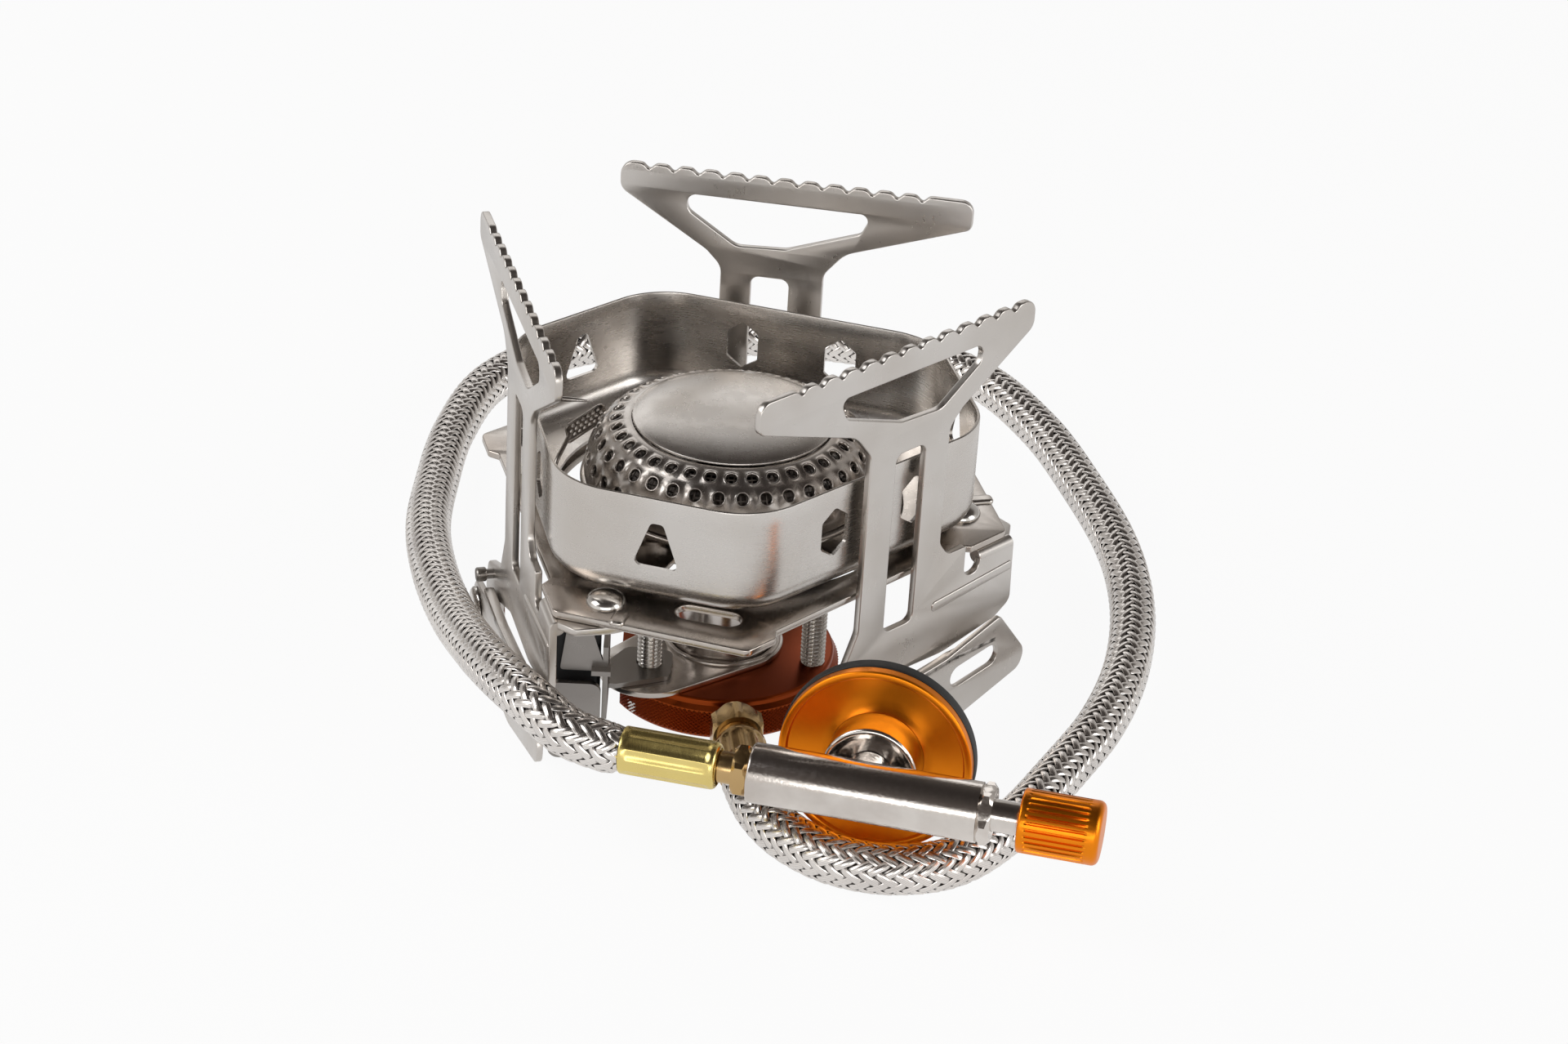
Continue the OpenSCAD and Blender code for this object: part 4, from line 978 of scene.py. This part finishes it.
# ---------------------------------------------------------------- hose
vt = math.radians(VALVE_TURN)
U3 = Vector((math.cos(vt), math.sin(vt), 0))
W3 = Vector((-math.sin(vt), math.cos(vt), 0))
V0 = Vector(VALVE_AT)
ia = math.radians(INLET_AZ)
INLET = Vector((math.cos(ia), math.sin(ia), 0))
hz = HOSE_R + 0.05


def on_valve(x):
    return V0 + U3 * x - W3 * VALVE_GAP


def on_inlet(d):
    return INLET * d + Vector((0, 0, INLET_Z))


HOSE_FREE = [Vector(p) for p in (
    (-22.3, -48.2, 19.2), (-27.4, -43.3, 20.6), (-32.8, -33.2, 19), (-37.4, -21, 16), (-42.2, -5, 12),
    (-46.5, 13, 9), (-49.3, 32, 6.4), (-49.6, 51, 4.4), (-48.2, 72, hz), (-43.1, 91.4, hz), (-30.5, 106, hz),
    (-14, 113, hz), (7, 115.5, hz), (28, 112.5, hz), (45.2, 102.6, hz), (55.6, 84, hz), (62.1, 62.2, hz),
    (66.5, 41.2, hz), (67.4, 21.4, hz), (64.9, 2.2, hz), (59.7, -14.6, hz), (52.4, -29.3, hz), (44, -44.2, hz),
    (35.4, -54.2, hz), (26.2, -57.3, hz), (17.6, -55.6, hz), (11, -50.5, hz), (6.8, -44, hz))]
HOSE = [on_valve(FERRULE_END + x) for x in (-0.25, -1, -3)] + HOSE_FREE + [on_inlet(d) for d in (38, 35.5, 32, 28)]
LINER = [on_valve(FERRULE_END + x) for x in (6, 2, -0.6, -3)] + HOSE[3:]
STEP = 0.42
frames = frames_on(HOSE, STEP)


def braid():
    n = 14
    turn = math.radians(38)
    lean = math.tan(turn) / HOSE_R
    width, amp, r0, thick = 1.12, 0.13, HOSE_R - 0.27, 0.14
    across = [(-0.5, -0.12), (-0.36, 0.0), (0.0, 0.04), (0.36, 0.0), (0.5, -0.12)]
    verts, faces, uvs = [], [], []
    count = len(frames)
    slant = math.cos(turn)
    for direction in (1, -1):
        for k in range(n):
            start = len(verts)
            wobble = random.uniform(-0.05, 0.05)
            heights = []
            for i, (p, s, u) in enumerate(frames):
                dist = i * STEP
                phase = 2 * n * lean * dist / (2 * math.pi)
                ang0 = 2 * math.pi * (k + wobble) / n + direction * lean * dist
                cross_at = (2 * k + direction * phase)
                h = max(-1.0, min(1.0, 1.7 * direction * math.cos(math.pi * (cross_at - 0.5) / 2)))
                heights.append(0.5 + 0.5 * h)
                r = r0 + amp * h - 0.55 * max(0.0, 1 - dist / 2.2) ** 2
                for w, dz in across:
                    ang = ang0 + w * width / slant / r0
                    rr = r + dz + thick / 2
                    verts.append(p + rr * (math.cos(ang) * s + math.sin(ang) * u))
            m = len(across)
            for i in range(count - 1):
                for j in range(m - 1):
                    a = start + i * m + j
                    faces.append((a, a + 1, a + m + 1, a + m))
                    lo, hi = across[j][0] + 0.5, across[j + 1][0] + 0.5
                    uvs += [lo, heights[i], hi, heights[i], hi, heights[i + 1], lo, heights[i + 1]]
    me = bpy.data.meshes.new("hose_braid_strands")
    me.from_pydata([tuple(v * MM) for v in verts], [], faces)
    me.polygons.foreach_set("use_smooth", [True] * len(me.polygons))
    me.uv_layers.new(name="across").data.foreach_set("uv", uvs)
    ob = bpy.data.objects.new("hose_braid_strands", me)
    scene.collection.objects.link(ob)
    me.materials.append(MATS["braid"])
    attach(ob, "stove")
    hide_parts("hose_braid")
    return ob


braid()
core = tube_along(HOSE_R - 0.72, 24, frames_on(LINER, 1.7))
piece("hose_liner_tube", core, ["hose_liner"], 60)


# ---------------------------------------------------------------- fittings and valve
def crimped(r, bore, length, n, depth, end):
    def rad(rr, z, a):
        if rr < r - 0.3 or z < 0.9 or z > length - 1.0:
            return rr
        fade = min(1, (z - 0.9) / 0.5, (length - 1.0 - z) / 0.5)
        return rr - depth * fade * (0.5 - 0.5 * math.cos(n * a)) ** 0.6
    prof = [(bore, 0)] + arc(r - 0.3, 0.3, 0.3, -90, 0, 3)
    prof += [(r, z) for z in (0.9, 1.2, 1.5, length / 3, length / 2, length * 2 / 3, length - 1.7, length - 1.4, length - 1.1)]
    prof += arc(r - end, length - end, end, 0, 90, 6) + [(bore, length), (bore, 0)]
    return lathe(prof, 192, rad)


bm = crimped(4.1, HOSE_R + 0.03, 7.4, 14, 0.28, 0.4)
place(bm, inlet_axis(27.4))
piece("burner_ferrule_crimped", bm, ["burner_ferrule"], 40)
bm = crimped(3.5, 2.9, 14.4, 12, 0.24, 0.8)
place(bm, body_axis(FERRULE_END - 0.2))
piece("valve_ferrule_crimped", bm, ["valve_ferrule"], 40)

parts = []
for prof, at in (([(0, 0), (2.08, 0), (2.08, 5.6), (0, 5.6)], 13.2), (disc_profile(3.0, 0, 2.4, 0.25), 18.8),
                 (disc_profile(3.2, 0, 2.7, 0.3), 24.8)):
    b = lathe(prof, 64)
    place(b, inlet_axis(at))
    parts.append(b)
b = hexagon(7.8, 0, 4.2, 0, 0.4)
place(b, inlet_axis(20.6) @ Rz(30))
parts.append(b)
piece("inlet_nut_hex", joined(*parts), ["inlet_nut"], 30)

parts = []
for prof, at in (([(0, 0), (1.3, 0), (1.3, 9), (0, 9)], -32), (disc_profile(2.85, 0, 2.4, 0.2), -23.4),
                 (disc_profile(2.35, 0, 3.4, 0.1), -21.2), (disc_profile(2.3, 0, 5, 0.2), -16.3)):
    b = lathe(prof, 64)
    place(b, body_axis(at))
    parts.append(b)
b = hexagon(7.18, 0, 2.25, 0, 0.3)
place(b, body_axis(-18.4) @ Rz(30))
parts.append(b)
piece("valve_tail_hex", joined(*parts), ["valve_tail"], 30)

length = BODY_RIGHT - BODY_LEFT
prof = [(2.35, 0.3), (2.35, 0), (BODY_R - 0.45, 0)] + arc(BODY_R - 0.4, 0.4, 0.4, -80, 0, 5) + [(BODY_R, length * 0.5), (BODY_R, length),
                                                                                       (3.2, length), (3.2, length - 1)]
bm = lathe(prof, 128)
place(bm, body_axis(BODY_LEFT))
piece("valve_body_turned", bm, ["valve_body"], 35)
b1 = hexagon(7.96, 0, 2.0, SPINDLE_R + 0.07, 0.3)
place(b1, body_axis(BODY_RIGHT + 0.01))
sleeve = BODY_RIGHT - 8.4
b2 = lathe([(SPINDLE_R + 0.07, 0), (3.18, 0), (3.18, sleeve), (SPINDLE_R + 0.07, sleeve), (SPINDLE_R + 0.07, 0)], 48)
place(b2, body_axis(8.5))
piece("valve_bonnet_hex", joined(b1, b2), ["valve_bonnet"], 28)
neck = KNOB_FROM - 8.75
bm = lathe([(0, 0), (SPINDLE_R, 0)] + arc(SPINDLE_R - 0.15, neck - 0.15, 0.15, 0, 90, 3)
           + [(1.8, neck), (1.8, neck + 6.9), (0, neck + 6.9)], 64)
place(bm, body_axis(8.7))
piece("valve_spindle_turned", bm, ["valve_spindle"], 35)


def knob_radius(r, z, a):
    if r < KNOB_R - 0.05 or z < 1.0 or z > KNOB_L - 1.9:
        return r
    fade = min(1, (z - 1.0) / 0.35, (KNOB_L - 1.9 - z) / 0.35)
    w = (a * 30 / (2 * math.pi)) % 1
    groove = max(0, 1 - abs(w - 0.5) / 0.24)
    return r - 0.3 * fade * min(1, groove * 1.6)


prof = [(1.8, 0.0), (KNOB_R - 0.45, 0.0)] + arc(KNOB_R - 0.4, 0.4, 0.4, -80, 0, 5)
prof += [(KNOB_R, z) for z in (0.9, 1.05, 1.4, 4, 7, KNOB_L - 2.3, KNOB_L - 1.95, KNOB_L - 1.7)]
prof += arc(KNOB_R - 1.0, KNOB_L - 1.0, 1.0, 0, 90, 9) + [(0, KNOB_L)]
bm = lathe(prof, 360, knob_radius)
place(bm, body_axis(KNOB_FROM))
piece("knob_fluted", bm, ["knob"], 40)

edge = COUPLING_R - 0.38
prof = [(7.02, 2.6), (7.02, 1.0), (7.6, 0.72), (8.6, 0.55), (10, 0.42), (11.4, 0.22), (12.6, -0.02), (13.0, -0.12),
        (13.12, -0.3), (13.2, -0.66), (13.35, -0.78)] + arc(edge, -0.42, 0.38, -90, 0, 6) \
    + [(COUPLING_R, 0.9), (13, 1.1), (10, 2.5), (7.02, 2.6)]
bm = lathe(prof, 160)
place(bm, canister_axis(0))
piece("coupling_disc_dished", bm, ["coupling_disc"], 40)
prof = [(10.4, 2.7), (13.2, 1.3), (COUPLING_R + 0.05, 1.0)] + arc(COUPLING_R - 0.05, 1.3, 0.25, -50, 0, 3) \
    + arc(COUPLING_R - 0.2, 2.9, 0.4, 0, 90, 5) + [(11.2, 3.3), (10.4, 3.0), (10.4, 2.7)]
bm = lathe(prof, 160)
place(bm, canister_axis(0))
piece("coupling_ring_rubber", bm, ["coupling_ring"], 40)


def boss():
    prof = [(0, -3.6), (5.2, -3.6), (5.2, 3.3), (6.8, 3.3), (7.0, 3.1), (7.0, -3.9)] + arc(6.5, -4.1, 0.5, 0, -90, 6) \
        + [(6.1, -4.55), (5.7, -4.3), (5.2, -4.22), (0, -4.2)]
    ring = lathe(prof, 128)
    stub = lathe([(0, 0), (3.38, 0), (3.38, 3.2), (0, 3.2)], 48)
    place(stub, T(0, 0, -7.6))
    both = joined(ring, stub)
    place(both, canister_axis(0))
    return both


piece("coupling_boss_turned", boss(), ["coupling_boss"], 35)

point, reach, wire_r = 3.4, 9.5, 0.4
stem = lathe([(0, 0), (wire_r, 0), (wire_r, ELECTRODE_Z - 28.3), (0, ELECTRODE_Z - 28.3)], 24)
place(stem, T(*ELECTRODE_AT, 28.1))
elbow = bmesh.new()
bmesh.ops.create_uvsphere(elbow, u_segments=24, v_segments=12, radius=wire_r)
place(elbow, T(*ELECTRODE_AT, ELECTRODE_Z))
finger = lathe([(0, 0), (wire_r, 0), (wire_r, reach - point), (wire_r * 0.86, reach - point * 0.6), (0.13, reach - 0.1),
                (0, reach)], 24)
place(finger, T(*ELECTRODE_AT, ELECTRODE_Z) @ Rz(-4.2) @ ALONG_X)
piece("electrode_wire", joined(stem, elbow, finger), ["electrode"], 50, material=MATS["ring_steel"])

for ob in frame["nodes"].values():
    if not ob.hide_render:
        for poly in ob.data.polygons:
            poly.use_smooth = True
        mod = ob.modifiers.new("edges", "EDGE_SPLIT")
        mod.split_angle = math.radians(35)

# ---------------------------------------------------------------- camera
UNIT = 34.2 * MM
PITCH, ROLL, TURN = math.radians(29.136), math.radians(3.485), math.radians(-1.591)
BACK = Vector((0, -math.cos(PITCH), math.sin(PITCH)))
UP0 = Vector((0, math.sin(PITCH), math.cos(PITCH)))
RIGHT0 = Vector((1, 0, 0))
RIGHT = math.cos(ROLL) * RIGHT0 + math.sin(ROLL) * UP0
UP = -math.sin(ROLL) * RIGHT0 + math.cos(ROLL) * UP0
pose = Matrix((RIGHT, UP, BACK)).transposed().to_4x4()
pose.translation = (16.0438 * BACK + 0.2341 * RIGHT - 0.0945 * UP) * UNIT
cam_data = bpy.data.cameras.new("camera")
cam_data.sensor_width = 36
cam_data.lens = 81.25
cam_data.shift_x = 0.0022
cam_data.shift_y = 0.0013
cam_data.clip_start = 0.01
cam = bpy.data.objects.new("camera", cam_data)
cam.matrix_world = Matrix.Translation((0, 0, PLATE_Z * MM)) @ Matrix.Rotation(TURN, 4, "Z") @ pose
scene.collection.objects.link(cam)
scene.camera = cam

# ---------------------------------------------------------------- floor and light
me = bpy.data.meshes.new("floor")
me.from_pydata([(-4, -4, -0.0003), (4, -4, -0.0003), (4, 4, -0.0003), (-4, 4, -0.0003)], [], [(0, 1, 2, 3)])
floor = bpy.data.objects.new("floor", me)
scene.collection.objects.link(floor)
fm = bpy.data.materials.new("floor")
fm.use_nodes = True
nt = fm.node_tree
b = nt.nodes["Principled BSDF"]
b.inputs["Base Color"].default_value = (0.92, 0.92, 0.92, 1)
b.inputs["Roughness"].default_value = 0.9
b.inputs["Specular IOR Level"].default_value = 0.0
em = nt.nodes.new("ShaderNodeEmission")
em.inputs["Strength"].default_value = 1.0
mix = nt.nodes.new("ShaderNodeMixShader")
lp = nt.nodes.new("ShaderNodeLightPath")
mul = nt.nodes.new("ShaderNodeMath")
mul.operation = "MULTIPLY"
mul.inputs[1].default_value = 0.93
nt.links.new(lp.outputs["Is Camera Ray"], mul.inputs[0])
glow = nt.nodes.new("ShaderNodeMath")
glow.operation = "MULTIPLY_ADD"
glow.inputs[1].default_value = 0.6
nt.links.new(lp.outputs["Is Glossy Ray"], glow.inputs[0])
nt.links.new(mul.outputs[0], glow.inputs[2])
nt.links.new(glow.outputs[0], mix.inputs["Fac"])
nt.links.new(b.outputs[0], mix.inputs[1])
nt.links.new(em.outputs[0], mix.inputs[2])
nt.links.new(mix.outputs[0], nt.nodes["Material Output"].inputs["Surface"])
me.materials.append(fm)

world = bpy.data.worlds.new("studio")
scene.world = world
world.use_nodes = True
nt = world.node_tree
bg = nt.nodes["Background"]
tc = nt.nodes.new("ShaderNodeTexCoord")
sep = nt.nodes.new("ShaderNodeSeparateXYZ")
nt.links.new(tc.outputs["Generated"], sep.inputs[0])
ahead = ramp(nt, sep.outputs["Z"], [(0.0, (1.0, 0.98, 0.96)), (0.42, (1.12, 1.1, 1.07)), (0.53, (0.14, 0.12, 0.11)),
                                    (1.0, (0.045, 0.038, 0.035))])
behind = ramp(nt, sep.outputs["Z"], [(0.0, (0.60, 0.58, 0.56)), (0.35, (0.54, 0.52, 0.50)), (0.54, (0.46, 0.44, 0.42)),
                                     (0.68, (0.12, 0.105, 0.095)), (1.0, (0.045, 0.038, 0.035))])
side = nt.nodes.new("ShaderNodeMapRange")
side.inputs["From Min"].default_value = -0.25
side.inputs["From Max"].default_value = 0.25
nt.links.new(sep.outputs["Y"], side.inputs["Value"])
both = nt.nodes.new("ShaderNodeMix")
both.data_type = "RGBA"
nt.links.new(side.outputs[0], both.inputs[0])
nt.links.new(ahead, both.inputs[6])
nt.links.new(behind, both.inputs[7])
nt.links.new(both.outputs[2], bg.inputs["Color"])
bg.inputs["Strength"].default_value = 0.85
bg2 = nt.nodes.new("ShaderNodeBackground")
bg2.inputs["Color"].default_value = (1, 1, 1, 1)
lp = nt.nodes.new("ShaderNodeLightPath")
mx = nt.nodes.new("ShaderNodeMixShader")
nt.links.new(lp.outputs["Is Camera Ray"], mx.inputs["Fac"])
nt.links.new(bg.outputs[0], mx.inputs[1])
nt.links.new(bg2.outputs[0], mx.inputs[2])
nt.links.new(mx.outputs[0], nt.nodes["World Output"].inputs["Surface"])


def softbox(name, where, aim, size, power, color=(1, 1, 1)):
    data = bpy.data.lights.new(name, "AREA")
    data.shape = "RECTANGLE"
    data.size, data.size_y = size
    data.energy = power
    data.color = color
    ob = bpy.data.objects.new(name, data)
    ob.location = where
    ob.rotation_euler = (Vector(aim) - Vector(where)).to_track_quat("-Z", "Y").to_euler()
    scene.collection.objects.link(ob)


softbox("key", (-0.65, -0.15, 0.6), (0, 0, 0.03), (0.5, 0.5), 2.6)
softbox("fill", (0.75, -0.3, 0.4), (0, 0, 0.03), (0.4, 0.5), 1.8)
softbox("front", (0.0, -0.95, 0.3), (0, 0, 0.03), (0.9, 0.2), 1.6)
softbox("rear", (-0.2, 0.85, 0.5), (0, 0, 0.04), (0.9, 0.3), 0.7)

scene.view_settings.view_transform = "Standard"
scene.view_settings.look = "None"
